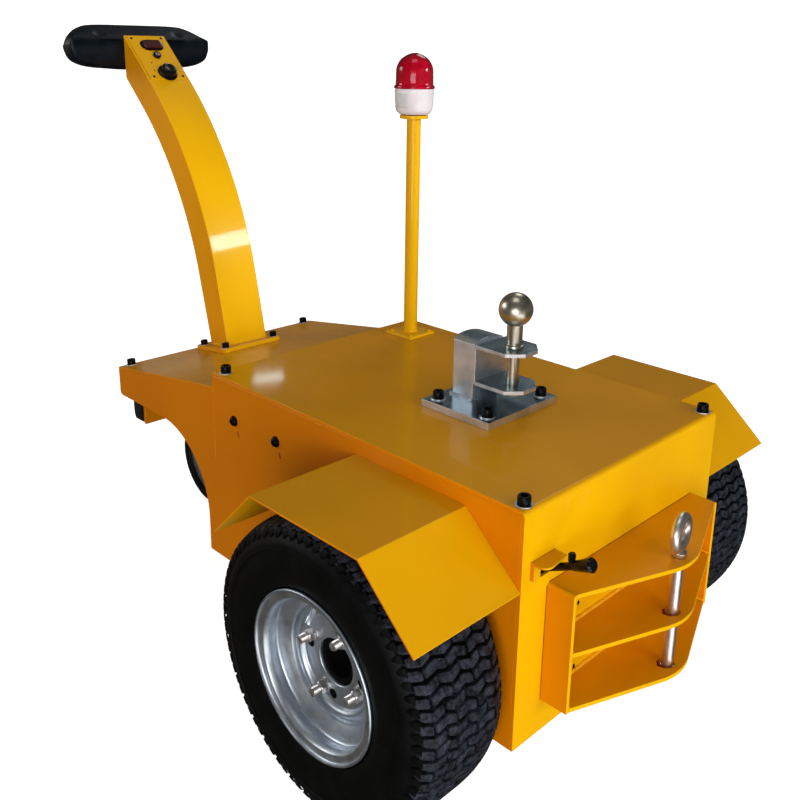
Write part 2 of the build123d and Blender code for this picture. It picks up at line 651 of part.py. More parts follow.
def beacon_base():
    """Housing that narrows to its foot."""
    foot = BEACON_BASE_RADIUS - BEACON_BASE_TAPER
    return beacon_spun(POLE_TOP + BEACON_DISC_THICKNESS, [
        (0, 0),
        (foot - BEACON_BASE_TAPER, 0),
        (foot, BEACON_BASE_TAPER),
        (BEACON_BASE_RADIUS, BEACON_BASE_HEIGHT / 2),
        (BEACON_BASE_RADIUS, BEACON_BASE_HEIGHT),
        (0, BEACON_BASE_HEIGHT),
    ])


def lens_curve(radius, height):
    """Points of a dome's rounding, from its shoulder to its top."""
    rise = height - LENS_SHOULDER_HEIGHT
    turns = (0, 30, 55, 75)
    return [(radius * cos(radians(t)), LENS_SHOULDER_HEIGHT + rise * sin(radians(t))) for t in turns]


def beacon_lens():
    """Hollow dome on a flange."""
    inner_radius = LENS_RADIUS - LENS_WALL
    inner_top = LENS_HEIGHT - LENS_WALL
    outer = [(LENS_FLANGE_RADIUS, 0), (LENS_FLANGE_RADIUS, LENS_FLANGE_HEIGHT),
             (LENS_RADIUS, LENS_FLANGE_HEIGHT)] + lens_curve(LENS_RADIUS, LENS_HEIGHT)
    inner = lens_curve(inner_radius, inner_top)
    points = outer + [(0, LENS_HEIGHT), (0, inner_top)] + inner[::-1] + [(inner_radius, 0)]
    return beacon_spun(POLE_TOP + BEACON_DISC_THICKNESS + BEACON_BASE_HEIGHT, points)


# ---------------------------------------------------------------- tiller
def leaning_edge(foot, lean, bend_z, radius, inward):
    """Points of a long edge of the tiller: foot, bend start, bend middle, bend end, top.

    Inward moves the edge that far to the rear, and its ends inward by the wall's thickness."""
    low, high = radians(lean[0]), radians(lean[1])
    foot_x, foot_z = foot
    wall = abs(inward)
    centre_x = foot_x - (bend_z - foot_z) * tan(low) - radius * cos(low)
    centre_z = bend_z - radius * sin(low)

    def on_bend(angle):
        reach = radius - inward
        return (centre_x + reach * cos(angle), centre_z + reach * sin(angle))

    start, end = on_bend(low), on_bend(high)
    foot_z = foot_z + wall
    end_x = TILLER_END_X + wall
    foot = (start[0] + (start[1] - foot_z) * tan(low), foot_z)
    top = (end_x, end[1] + (end[0] - end_x) / tan(high))
    return [foot, start, on_bend((low + high) / 2), end, top]


def tiller_edges(wall=0):
    """The long edges of the tiller's side, front and rear, or of its hollow inside the wall."""
    seat = TILLER_PLATE_THICKNESS / cos(radians(TAIL_ANGLE))
    front_x = TAIL_END_X + TILLER_FRONT_INSET
    rear_x = TAIL_END_X + TILLER_REAR_INSET
    front = leaning_edge((front_x, tail_top(front_x) + seat), TILLER_FRONT_LEAN,
                         TILLER_FRONT_BEND_Z, TILLER_FRONT_RADIUS, wall)
    rear = leaning_edge((rear_x, tail_top(rear_x) + seat), TILLER_REAR_LEAN,
                        TILLER_REAR_BEND_Z, TILLER_REAR_RADIUS, -wall)
    return front, rear


def tiller_face(wall=0):
    front, rear = tiller_edges(wall)
    f = [Vector(x, 0, z) for x, z in front]
    r = [Vector(x, 0, z) for x, z in rear]
    lines = [
        Line(f[0], f[1]),
        ThreePointArc(f[1], f[2], f[3]),
        Line(f[3], f[4]),
        Line(f[4], r[4]),
        Line(r[4], r[3]),
        ThreePointArc(r[3], r[2], r[1]),
        Line(r[1], r[0]),
        Line(r[0], f[0]),
    ]
    return make_face(lines)


def tiller_post():
    """Curved box section, welded from four sheets and closed at both ends."""
    inner_half = TILLER_HALF_WIDTH - TILLER_WALL
    outer = across(tiller_face(), -TILLER_HALF_WIDTH, TILLER_HALF_WIDTH)
    return outer - across(tiller_face(TILLER_WALL), -inner_half, inner_half)


def tiller_plate():
    x0 = TAIL_END_X + TILLER_PLATE_REAR_INSET
    x1 = TAIL_END_X + TILLER_PLATE_FRONT_INSET
    length = (x1 - x0) / cos(radians(TAIL_ANGLE))
    plate = Box(length, 2 * TILLER_PLATE_HALF_WIDTH, TILLER_PLATE_THICKNESS)
    plate = fillet(plate.edges().filter_by(Axis.Z), TILLER_PLATE_CORNER)
    plate = plate.moved(Location((0, 0, TILLER_PLATE_THICKNESS / 2)))
    x = (x0 + x1) / 2
    return plate.moved(Location((x, 0, tail_top(x)), (0, -TAIL_ANGLE, 0)))


def panel_place(place, height):
    """Where a control sits: down from the tiller's top edge, across, and up from its face."""
    down, aside = place
    front, _ = tiller_edges()
    lean = radians(TILLER_FRONT_LEAN[1])
    plane = Plane(origin=(front[-1][0], 0, front[-1][1]), x_dir=(-sin(lean), 0, cos(lean)),
                  z_dir=(cos(lean), 0, sin(lean)))
    return plane.location * Location((-down, aside, height))


def control_panel():
    half = TILLER_HALF_WIDTH - PANEL_SIDE_MARGIN
    sheet = Box(PANEL_LENGTH, 2 * half, PANEL_THICKNESS)
    middle = (PANEL_TOP_MARGIN + PANEL_LENGTH / 2, PANEL_ASIDE)
    return panel_place(middle, PANEL_THICKNESS / 2) * sheet


def rocker_switch():
    """Bezel with a paddle that dips in the middle."""
    bezel = Box(*ROCKER_BEZEL).moved(Location((0, 0, ROCKER_BEZEL[2] / 2)))
    length, width, height = ROCKER_KEY
    dip = (height + ROCKER_BEZEL[2]) / 2
    outline = Polyline((0, -width / 2, 0), (0, -width / 2, height), (0, 0, dip),
                       (0, width / 2, height), (0, width / 2, 0), close=True)
    paddle = extrude(make_face(outline), length, dir=(1, 0, 0)).moved(Location((-length / 2, 0, 0)))
    return panel_place(ROCKER_PLACE, PANEL_THICKNESS) * (bezel + paddle)


def key_switch():
    """Barrel with the slot for the key."""
    barrel = Cylinder(KEY_RADIUS, KEY_HEIGHT).moved(Location((0, 0, KEY_HEIGHT / 2)))
    slot = Box(*KEY_SLOT).moved(Location((0, 0, KEY_HEIGHT)))
    return panel_place(KEY_PLACE, PANEL_THICKNESS) * (barrel - slot)


def stop_knob():
    """Knob with a wide skirt and a tapered grip."""
    skirt = Cylinder(KNOB_SKIRT_RADIUS, KNOB_SKIRT_HEIGHT).moved(Location((0, 0, KNOB_SKIRT_HEIGHT / 2)))
    rise = KNOB_HEIGHT - KNOB_SKIRT_HEIGHT
    grip = Cone(KNOB_GRIP_RADIUS, KNOB_GRIP_RADIUS * 0.9, rise)
    grip = grip.moved(Location((0, 0, KNOB_SKIRT_HEIGHT + rise / 2)))
    return panel_place(KNOB_PLACE, PANEL_THICKNESS) * (skirt + grip)


def handle():
    """Moulded grip across the tiller's end: two rounded lobes, the top sloping up to the rear."""
    right = [(HANDLE_HALF_SPAN - a, HANDLE_LOW + b) for a, b in HANDLE_VIEW]
    right = [(TILLER_HALF_WIDTH, HANDLE_LOW)] + right
    high = right[-1][1]
    points = right + [(-a, b) for a, b in reversed(right)]
    face = make_face(Polyline(*[(TILLER_END_X, a, b) for a, b in points], close=True))
    lobes = face.vertices().sort_by(lambda v: -abs(v.Y))[:8]
    face = fillet(lobes, HANDLE_LOBE_RADIUS)
    body = extrude(face, HANDLE_DEPTH, dir=(-1, 0, 0))
    rear = body.faces().sort_by(Axis.X)[0]
    body = chamfer(rear.edges(), HANDLE_EDGE_RADIUS)
    x1 = TILLER_END_X - HANDLE_DEPTH
    front_top = high - HANDLE_DEPTH * tan(radians(HANDLE_SLOPE))
    above = side_outline([
        (TILLER_END_X + 1, front_top),
        (TILLER_END_X, front_top),
        (x1, high),
        (x1, high + 1),
        (TILLER_END_X + 1, high + 1),
    ])
    return body - across(above, -HANDLE_HALF_SPAN - 1, HANDLE_HALF_SPAN + 1)


# ---------------------------------------------------------------- drive wheels
def spun(points, side):
    """Spins (offset outboard, radius) points about the drive axle."""
    shape = [(0, side * (WHEEL_HALF_TRACK + y), r) for y, r in points]
    face = make_face(Polyline(*shape, close=True))
    solid = revolve(face, Axis((0, 0, 0), (0, 1, 0)), 360)
    return solid.moved(Location((WHEEL_X, 0, TYRE_RADIUS)))


def tyre(side):
    """Turf tyre: flat crown, sloping shoulders, bulging walls, two beads on the rim's seats."""
    bead_face = RIM_HALF_WIDTH - RIM_FLANGE_WIDTH - GAP
    half = [
        (TREAD_HALF_WIDTH - SHOULDER_WIDTH, TYRE_RADIUS),
        (TREAD_HALF_WIDTH, TYRE_RADIUS - SHOULDER_DROP),
        (TYRE_HALF_WIDTH, SIDEWALL_RADIUS),
        (RIM_HALF_WIDTH, RIM_FLANGE_RADIUS + GAP),
        (bead_face, RIM_FLANGE_RADIUS + GAP),
        (bead_face, BEAD_RADIUS + GAP),
        (bead_face - BEAD_WIDTH, BEAD_RADIUS + GAP),
        (TREAD_HALF_WIDTH - TREAD_DEPTH, TYRE_RADIUS - TREAD_DEPTH),
    ]
    points = half + [(-y, r) for y, r in reversed(half)]
    return spun(points, side)


def rim_section():
    """Half section of the barrel, outside then inside: flange, bead seat and drop well."""
    t = RIM_SHEET
    h = RIM_HALF_WIDTH
    seat = h - RIM_FLANGE_WIDTH
    well = seat - BEAD_WIDTH - 2 * WELL_SLOPE
    outer = [
        (h, RIM_FLANGE_RADIUS),
        (seat, RIM_FLANGE_RADIUS - t),
        (seat, BEAD_RADIUS),
        (well + WELL_SLOPE, BEAD_RADIUS),
        (well, WELL_RADIUS),
    ]
    inner = [
        (well + t, WELL_RADIUS - t),
        (well + WELL_SLOPE + t, BEAD_RADIUS - t),
        (seat + t, BEAD_RADIUS - t),
        (h, RIM_FLANGE_RADIUS - t),
    ]
    return outer, inner


def disc_section():
    """Section of the pressed disc: flat round the studs, a raised ring, then the well."""
    t = DISC_THICKNESS
    d = DISC_OFFSET
    edge = WELL_RADIUS - RIM_SHEET + 1
    return [
        (d, DISC_BORE_RADIUS),
        (d, DISC_RIDGE_RADIUS),
        (d + DISC_RIDGE, DISC_RIDGE_RADIUS + t),
        (d + DISC_RIDGE, edge),
        (d + DISC_RIDGE - t, edge),
        (d - t, DISC_RIDGE_RADIUS + t),
        (d - t, DISC_BORE_RADIUS),
    ]


def rim(side):
    """Pressed wheel: a two-flange barrel with a drop well, and the disc that the studs hold."""
    outer, inner = rim_section()
    mirror = [(-y, r) for y, r in reversed(outer)]
    mirror_in = [(-y, r) for y, r in reversed(inner)]
    barrel = spun(outer + mirror + mirror_in + inner, side)
    wheel = barrel + spun(disc_section(), side)
    for x, z in stud_places():
        back = side * (WHEEL_HALF_TRACK + DISC_OFFSET - DISC_THICKNESS - 1)
        front = side * (WHEEL_HALF_TRACK + DISC_OFFSET + 1)
        wheel = wheel - rod(STUD_RADIUS, (x, back, z), (x, front, z))
    return wheel


def stud_places():
    """Each wheel stud's x and z."""
    turns = [radians(STUD_ANGLE + 360 * index / STUD_COUNT) for index in range(STUD_COUNT)]
    return [(WHEEL_X + STUD_CIRCLE_RADIUS * cos(a), TYRE_RADIUS + STUD_CIRCLE_RADIUS * sin(a))
            for a in turns]


def hub(side):
    """Hub flange behind the disc, its studs and nuts in front of it."""
    flange = DISC_OFFSET - DISC_THICKNESS
    bore = STUB_RADIUS + RUNNING_FIT
    waist = flange - 2 * HUB_FLANGE_THICKNESS
    body = spun([
        (flange, HUB_BORE_RADIUS),
        (flange, HUB_RADIUS),
        (flange - HUB_FLANGE_THICKNESS, HUB_RADIUS),
        (waist, HUB_BARREL_RADIUS),
        (flange - HUB_LENGTH, HUB_BARREL_RADIUS),
        (flange - HUB_LENGTH, bore),
        (flange - HUB_BORE_DEPTH, bore),
        (flange - HUB_BORE_DEPTH, HUB_BORE_RADIUS),
    ], side)
    face = side * (WHEEL_HALF_TRACK + DISC_OFFSET)
    root = side * (WHEEL_HALF_TRACK + flange - HUB_FLANGE_THICKNESS / 2)
    for x, z in stud_places():
        stud = rod(STUD_RADIUS, (x, root, z), (x, face + side * STUD_LENGTH, z))
        nut = hexagon_nut(NUT_RADIUS, (x, face, z), (x, face + side * NUT_HEIGHT, z))
        body = body + stud + nut
    return body


def drive_axle():
    """Transaxle case across the box, with its motor and a tube out to each hub."""
    hub_back = WHEEL_HALF_TRACK + DISC_OFFSET - DISC_THICKNESS
    end = hub_back - HUB_LENGTH - GAP
    tip = hub_back - HUB_BORE_DEPTH
    case_right, case_left = GEAR_CASE_Y
    tube = rod(AXLE_TUBE_RADIUS, (WHEEL_X, -end, TYRE_RADIUS), (WHEEL_X, end, TYRE_RADIUS))
    stub = rod(STUB_RADIUS, (WHEEL_X, -tip, TYRE_RADIUS), (WHEEL_X, tip, TYRE_RADIUS))
    case = rod(GEAR_CASE_RADIUS, (WHEEL_X, case_right, TYRE_RADIUS), (WHEEL_X, case_left, TYRE_RADIUS))
    motor = rod(MOTOR_RADIUS, (WHEEL_X, case_right - MOTOR_LENGTH, TYRE_RADIUS),
                (WHEEL_X, case_right, TYRE_RADIUS))
    return tube + stub + case + motor


def battery_block():
    floor = BOX_BOTTOM + BODY_SHEET
    x0 = TAIL_START_X + BATTERY_CLEARANCE
    return block(x0, x0 + BATTERY_LENGTH, -BATTERY_WIDTH / 2, BATTERY_WIDTH / 2,
                 floor, floor + BATTERY_HEIGHT)


# ---------------------------------------------------------------- castor
def castor_spun(points):
    face = make_face(Polyline(*[(0, y, r) for y, r in points], close=True))
    solid = revolve(face, Axis((0, 0, 0), (0, 1, 0)), 360)
    return solid.moved(Location((CASTOR_WHEEL_X, 0, CASTOR_RADIUS)))


def castor_plate():
    x0 = CASTOR_AXIS_X - CASTOR_PLATE_LENGTH / 2
    z1 = CASTOR_PLATE_TOP
    plate = block(x0, x0 + CASTOR_PLATE_LENGTH, -CASTOR_PLATE_WIDTH / 2, CASTOR_PLATE_WIDTH / 2,
                  z1 - CASTOR_PLATE_THICKNESS, z1)
    race = rod(CASTOR_HEAD_RADIUS, (CASTOR_AXIS_X, 0, CASTOR_CROWN_TOP + 2 * GAP),
               (CASTOR_AXIS_X, 0, z1 - CASTOR_PLATE_THICKNESS))
    return plate + race


def castor_fork():
    """Crown under the race, two trailing legs and the axle bolt with its nut."""
    inside = CASTOR_WIDTH / 2 + CASTOR_FORK_GAP
    outside = inside + CASTOR_FORK_SHEET
    front = CASTOR_AXIS_X + CASTOR_CROWN_HALF_LENGTH
    rear = CASTOR_AXIS_X - CASTOR_CROWN_HALF_LENGTH
    legs = block(rear, front, -outside, outside, CASTOR_CROWN_TOP - CASTOR_CROWN_SHEET,
                 CASTOR_CROWN_TOP)
    end = CASTOR_LEG_END
    leg_points = [
        (front, CASTOR_CROWN_TOP),
        (rear, CASTOR_CROWN_TOP),
        (CASTOR_WHEEL_X - end, CASTOR_RADIUS),
        (CASTOR_WHEEL_X - end * 0.7, CASTOR_RADIUS - end),
        (CASTOR_WHEEL_X + end * 0.7, CASTOR_RADIUS - end),
        (front, CASTOR_CROWN_TOP - CASTOR_LEG_SHOULDER),
    ]
    for y0 in (inside, -outside):
        legs = legs + across(side_outline(leg_points), y0, y0 + CASTOR_FORK_SHEET)
    bolt = rod(CASTOR_AXLE_RADIUS, (CASTOR_WHEEL_X, -outside, CASTOR_RADIUS),
               (CASTOR_WHEEL_X, outside, CASTOR_RADIUS))
    for y0, y1 in ((outside, outside + CASTOR_AXLE_NUT_HEIGHT),
                   (-outside - CASTOR_AXLE_NUT_HEIGHT, -outside)):
        bolt = bolt + hexagon_nut(CASTOR_AXLE_NUT_RADIUS, (CASTOR_WHEEL_X, y0, CASTOR_RADIUS),
                                  (CASTOR_WHEEL_X, y1, CASTOR_RADIUS))
    return legs + bolt


def castor_wheel():
    """Wheel centre with a hub, bored for the axle bolt."""
    side = CASTOR_WIDTH / 2
    bore = CASTOR_AXLE_RADIUS + RUNNING_FIT
    half = [
        (side - CASTOR_RECESS, CASTOR_RADIUS - CASTOR_TREAD),
        (side - CASTOR_RECESS, CASTOR_HUB_RADIUS),
        (side + CASTOR_HUB_STAND, CASTOR_HUB_RADIUS),
        (side + CASTOR_HUB_STAND, bore),
    ]
    return castor_spun(half + [(-y, r) for y, r in reversed(half)])


def castor_tyre():
    """Solid rubber tyre with a rounded crown."""
    side = CASTOR_WIDTH / 2
    crown = CASTOR_TYRE_CROWN
    half = [
        (side - crown, CASTOR_RADIUS),
        (side, CASTOR_RADIUS - crown),
        (side, CASTOR_RADIUS - CASTOR_TREAD),
    ]
    return castor_spun(half + [(-y, r) for y, r in reversed(half)])


def main():
    os.makedirs("parts", exist_ok=True)
    save("deck_sheet", deck_sheet())
    save("floor_plate", floor_plate())
    save("well_wall", well_wall())
    save("tail_plate", tail_plate())
    save("tail_lip", tail_lip())
    save("rear_bumper", rear_bumper())
    save("castor_mount", castor_mount())
    for name, side in (("left", 1), ("right", -1)):
        save(f"side_plate_{name}", side_plate(side))
        save(f"fender_{name}", fender(side))
        save(f"jaw_side_{name}", jaw_side(side))
        save(f"tyre_{name}", tyre(side))
        save(f"rim_{name}", rim(side))
        save(f"hub_{name}", hub(side))
    for name, top in (("top", JAW_TOP), ("middle", JAW_MIDDLE), ("bottom", JAW_BOTTOM + JAW_PLATE)):
        save(f"jaw_shelf_{name}", jaw_shelf(top - JAW_PLATE))
    save("hitch_pin", hitch_pin())
    save("lever_hood", lever_hood())
    save("hand_lever", hand_lever())
    save("ball_plate", ball_plate())
    save("ball_upright", ball_upright())
    save("ball_clevis", ball_clevis())
    save("tow_ball", tow_ball())
    save("beacon_pole", beacon_pole())
    save("beacon_base", beacon_base())
    save("beacon_lens", beacon_lens())
    save("tiller_plate", tiller_plate())
    save("tiller_post", tiller_post())
    save("control_panel", control_panel())
    save("rocker_switch", rocker_switch())
    save("key_switch", key_switch())
    save("stop_knob", stop_knob())
    save("handle", handle())
    save("drive_axle", drive_axle())
    save("battery_block", battery_block())
    save("castor_plate", castor_plate())
    save("castor_fork", castor_fork())
    save("castor_wheel", castor_wheel())
    save("castor_tyre", castor_tyre())


main()
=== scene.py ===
"""Looks of a pedestrian electric tow tug: painted sheet, zinc-plated hitches, turf tyres.

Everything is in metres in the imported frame: +X towards the pin jaw, +Z up, floor at Z = 0.
Sizes that are typed here are in millimetres and are turned to metres by MM.
"""
import json
import math

import bmesh
import bpy
import numpy as np
from mathutils import Matrix, Vector


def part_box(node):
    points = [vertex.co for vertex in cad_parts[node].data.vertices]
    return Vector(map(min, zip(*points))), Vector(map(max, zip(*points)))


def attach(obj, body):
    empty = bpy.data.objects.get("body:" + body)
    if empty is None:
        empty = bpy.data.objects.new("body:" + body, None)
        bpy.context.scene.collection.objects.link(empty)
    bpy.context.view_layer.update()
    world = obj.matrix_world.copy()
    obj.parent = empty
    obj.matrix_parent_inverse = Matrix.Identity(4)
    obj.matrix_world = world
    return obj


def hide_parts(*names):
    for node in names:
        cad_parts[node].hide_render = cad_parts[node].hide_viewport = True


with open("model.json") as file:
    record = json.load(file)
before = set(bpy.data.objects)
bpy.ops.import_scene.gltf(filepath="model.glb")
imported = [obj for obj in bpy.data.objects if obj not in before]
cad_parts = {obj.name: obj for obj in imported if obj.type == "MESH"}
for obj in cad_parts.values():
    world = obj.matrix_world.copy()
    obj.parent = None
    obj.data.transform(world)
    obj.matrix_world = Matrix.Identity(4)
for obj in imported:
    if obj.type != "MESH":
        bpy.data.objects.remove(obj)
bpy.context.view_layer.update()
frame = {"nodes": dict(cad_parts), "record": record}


MM = 0.001
CHASSIS = "chassis"
UP = (0, 0, 1)


def corners(node):
    """Lowest and highest corner of a CAD node as arrays."""
    low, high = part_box(node)
    return np.array(low, float), np.array(high, float)


def half_size(low, high, axis):
    """Half of a box's length along an axis, in mm."""
    return (high[axis] - low[axis]) / 2 / MM


# ---------------------------------------------------------------- places, from the frame
DECK_LOW, DECK_HIGH = corners("deck_sheet")
TAIL_LOW = corners("tail_plate")[0]
FRONT = DECK_HIGH[0]                     # outer face of the front plate
DECK = DECK_HIGH[2]                      # upper face of the deck
HALF = DECK_HIGH[1]                      # half width of the body
TAIL_START = DECK_LOW[0]
TAIL_END = TAIL_LOW[0]

# ---------------------------------------------------------------- node trees


def linear(hex_colour):
    """sRGB hex to linear RGBA."""
    raw = [int(hex_colour[i:i + 2], 16) / 255 for i in (1, 3, 5)]
    return [c / 12.92 if c <= 0.04045 else ((c + 0.055) / 1.055) ** 2.4 for c in raw] + [1.0]


def colour_of(value):
    """RGBA of a hex colour or of a grey level; anything else is already a colour or a socket."""
    if isinstance(value, str):
        return linear(value)
    if isinstance(value, float):
        return (value, value, value, 1.0)
    return value


def feed(tree, socket, value):
    """Links the socket if value is another node's socket, and sets it otherwise."""
    if isinstance(value, bpy.types.NodeSocket):
        tree.links.new(value, socket)
    else:
        socket.default_value = value


def add(tree, kind, inputs=None, **settings):
    """Adds one node: settings are its properties, inputs its socket values or links."""
    made = tree.nodes.new(kind)
    for key, value in settings.items():
        setattr(made, key, value)
    for key, value in (inputs or {}).items():
        feed(tree, made.inputs[key], value)
    return made


def maths(tree, operation, *values):
    """Result of one Math node."""
    return add(tree, "ShaderNodeMath", dict(enumerate(values)), operation=operation).outputs[0]


def ramp(tree, factor, stops, smooth=False):
    """Colour ramp through (position, colour) stops; a colour is a hex colour or a grey level."""
    made = add(tree, "ShaderNodeValToRGB", {"Fac": factor})
    band = made.color_ramp
    band.interpolation = "EASE" if smooth else "LINEAR"
    while len(band.elements) < len(stops):
        band.elements.new(0.5)
    for element, (position, colour) in zip(band.elements, stops):
        element.position = position
        element.color = colour_of(colour)
    return made.outputs["Color"]


def object_noise(tree, size_mm, detail=3.0, roughness=0.55, stretch=(1, 1, 1)):
    """Noise whose features are about size_mm across, in Object coordinates."""
    place = add(tree, "ShaderNodeTexCoord").outputs["Object"]
    place = add(tree, "ShaderNodeMapping", {"Vector": place, "Scale": stretch}).outputs["Vector"]
    return add(tree, "ShaderNodeTexNoise", {
        "Vector": place,
        "Scale": 1.0 / (size_mm * MM),
        "Detail": detail,
        "Roughness": roughness,
    }).outputs["Fac"]


def bump(tree, height, depth_mm):
    """Bump of about depth_mm."""
    inputs = {"Height": height, "Strength": 1.0, "Distance": depth_mm * MM}
    return add(tree, "ShaderNodeBump", inputs).outputs["Normal"]


def mix_colour(tree, factor, a, b, blend="MIX"):
    """Two colours blended; each is a socket, a hex colour or a grey level."""
    inputs = {0: factor, 6: colour_of(a), 7: colour_of(b)}
    return add(tree, "ShaderNodeMix", inputs, data_type="RGBA", blend_type=blend).outputs[2]


def set_sockets(tree, shader, **sockets):
    """Sets or links the shader's sockets, named with _ for each space."""
    for key, value in sockets.items():
        feed(tree, shader.inputs[key.replace("_", " ")], value)


def new_material(name, **sockets):
    """A material with one Principled shader and its constant sockets."""
    material = bpy.data.materials.new(name)
    material.use_nodes = True
    tree = material.node_tree
    shader = tree.nodes["Principled BSDF"]
    set_sockets(tree, shader, **sockets)
    return material, tree, shader


def by_facing(tree, front, upper, flank):
    """Colour by the way a face looks: front and back, upwards, or to a side; as a base colour this is
    painted light and shade.
    """
    facing = add(tree, "ShaderNodeTexCoord").outputs["Normal"]
    parts = add(tree, "ShaderNodeSeparateXYZ", {"Vector": facing}).outputs
    up = maths(tree, "MULTIPLY", parts["Z"], parts["Z"])
    aside = maths(tree, "MULTIPLY", parts["Y"], parts["Y"])
    return mix_colour(tree, aside, mix_colour(tree, up, front, upper), flank)


# ---------------------------------------------------------------- finishes
def yellow_enamel(name, front, upper, flank):
    """Gloss enamel sprayed on steel sheet: deep colour, mirror-like clear top, faint orange peel.

    Painted light and shade: front and back take the brightest tone, and the top and the flanks are
    painted darker and more orange, as if in shade.
    The clear top is what mirrors the pole and the plate in the deck."""
    material, tree, shader = new_material(
        name, IOR=1.5, Specular_IOR_Level=0.08, Coat_Weight=0.26, Coat_Roughness=0.07)
    # painted light and shade: the base tone is chosen by the direction each face looks
    colour = by_facing(tree, front, upper, flank)
    drift = object_noise(tree, 260.0, detail=2.0)
    depth = ramp(tree, drift, [(0.35, 0.90), (0.65, 1.0)])
    colour = mix_colour(tree, 1.0, colour, depth, "MULTIPLY")
    smear = object_noise(tree, 45.0, detail=5.0, roughness=0.6, stretch=(1, 2.5, 1))
    peel = object_noise(tree, 4.0, detail=1.0)
    rough = ramp(tree, smear, [(0.35, 0.30), (0.75, 0.45)])
    set_sockets(tree, shader, Base_Color=colour, Roughness=rough, Normal=bump(tree, peel, 0.006))
    return material


def weathered(name, patch, tones, rough=None, grain=None, depth_mm=0.0, **sockets):
    """Colour = ramp(patch noise), roughness = ramp(the same noise), bump = grain noise.

    patch and grain are (size in mm, detail, roughness) of the noise; tones and rough are stops."""
    material, tree, shader = new_material(name, **sockets)
    cloud = object_noise(tree, *patch)
    set_sockets(tree, shader, Base_Color=ramp(tree, cloud, tones))
    if rough:
        set_sockets(tree, shader, Roughness=ramp(tree, cloud, rough))
    if grain:
        set_sockets(tree, shader, Normal=bump(tree, object_noise(tree, *grain), depth_mm))
    return material


def plated_steel(name, light, dark, roughness, dulled=0.0, sky="#FFFFFF"):
    """Electroplated zinc: a bright metal with cloudy patches and fine rolling lines.

    Rolled faces that look up are brighter, with a painted bluish reflection of the sky multiplied into
    their colour; cut edges and upright faces are duller."""
    material, tree, shader = new_material(name, Metallic=1.0)
    cloud = object_noise(tree, 34.0, detail=4.0)
    colour = ramp(tree, cloud, [(0.35, dark), (0.65, light)])
    # painted reflection: faces that look up take the sky tint into their colour
    colour = mix_colour(tree, 1.0, colour, by_facing(tree, 1.0, sky, 1.0), "MULTIPLY")
    lines = object_noise(tree, 2.2, detail=3.0, stretch=(1, 1, 6))
    rough = ramp(tree, cloud, [(0.3, roughness), (0.7, roughness + 0.08)])
    upright = by_facing(tree, dulled, 0.0, dulled)
    rough = mix_colour(tree, 1.0, rough, upright, "ADD")
    set_sockets(tree, shader, Base_Color=colour, Roughness=rough,
                Normal=bump(tree, lines, 0.004))
    return material


def worn_tread():
    """Tread tops: rubber that has rolled on concrete, grey with dust and small pits."""
    material, tree, shader = new_material("dusty tread rubber", IOR=1.5, Specular_IOR_Level=0.2)
    dust = object_noise(tree, 12.0, detail=7.0, roughness=0.72)
    colour = ramp(tree, dust, [(0.40, "#08090B"), (0.78, "#444A58")])
    pits = object_noise(tree, 2.6, detail=3.0, roughness=0.6)
    colour = mix_colour(tree, ramp(tree, pits, [(0.33, 0.95), (0.45, 0.0)]), colour, "#0B0B0D")
    rough = ramp(tree, dust, [(0.3, 0.40), (0.7, 0.65)])
    set_sockets(tree, shader, Base_Color=colour, Roughness=rough, Normal=bump(tree, pits, 0.9))
    return material


def black_finish(name, colour, roughness, grain_mm, depth_mm, specular=0.3):
    """Dark moulded, blackened or filled surface; its patches go up to 1.7 times the tone."""
    light = [min(1.0, c * 1.7 + 0.002) for c in linear(colour)[:3]] + [1.0]
    return weathered(name, (24.0, 4.0), [(0.35, colour), (0.7, light)],
                     [(0.3, roughness), (0.7, roughness + 0.12)], (grain_mm, 2.0), depth_mm,
                     IOR=1.5, Specular_IOR_Level=specular)


def red_lens():
    """Clear red polycarbonate with painted shade: light red where the eye looks through one wall,
    darker towards the edges.
    """
    material, tree, shader = new_material(
        "red polycarbonate lens", IOR=1.5, Specular_IOR_Level=0.22, Transmission_Weight=0.15,
        Coat_Weight=0.12, Coat_Roughness=0.03, Roughness=0.10)
    edge = add(tree, "ShaderNodeLayerWeight", {"Blend": 0.45}).outputs["Facing"]
    cloud = object_noise(tree, 16.0)
    colour = ramp(tree, cloud, [(0.3, "#A40018"), (0.7, "#C60228")])
    # painted shade: darker red towards the lens's edges, by how squarely each face is seen
    depth = ramp(tree, edge, [(0.25, 0.0), (0.85, 1.0)])
    set_sockets(tree, shader, Base_Color=mix_colour(tree, depth, colour, "#5C000C"))
    return material


def gloss_plastic(name, colour):
    """Glossy moulded plastic of a switch: mirrors the room under a clear skin."""
    light = [min(1.0, c * 1.25) for c in linear(colour)[:3]] + [1.0]
    return weathered(name, (8.0,), [(0.3, colour), (0.7, light)], None, (0.8,), 0.008, IOR=1.5,
                     Coat_Weight=0.8, Coat_Roughness=0.08, Roughness=0.22)


# the same paint on each part of the body, with painted light and shade: its tone facing front and
# back, up, and aside; the copy for the sides is painted darker and more orange, the copies for the
# post, the jaw and the tube lighter
ENAMEL = yellow_enamel("sprayed yellow enamel", "#F4B602", "#D29002", "#DA7C00")
ENAMEL_SHADED_SIDE = yellow_enamel("yellow enamel, painted shade for the sides", "#D27C00", "#D29002", "#D47800")
ENAMEL_LIT_POST = yellow_enamel("yellow enamel on post, painted light", "#F8BE04", "#D29002", "#EC9C06")
ENAMEL_LIT_JAW = yellow_enamel("yellow enamel on jaw, painted light", "#F6BA02", "#DA8E02", "#DA8200")
ENAMEL_LIT_TUBE = yellow_enamel("yellow enamel on tube, painted light", "#EEB408", "#E4A804", "#E2A60C")
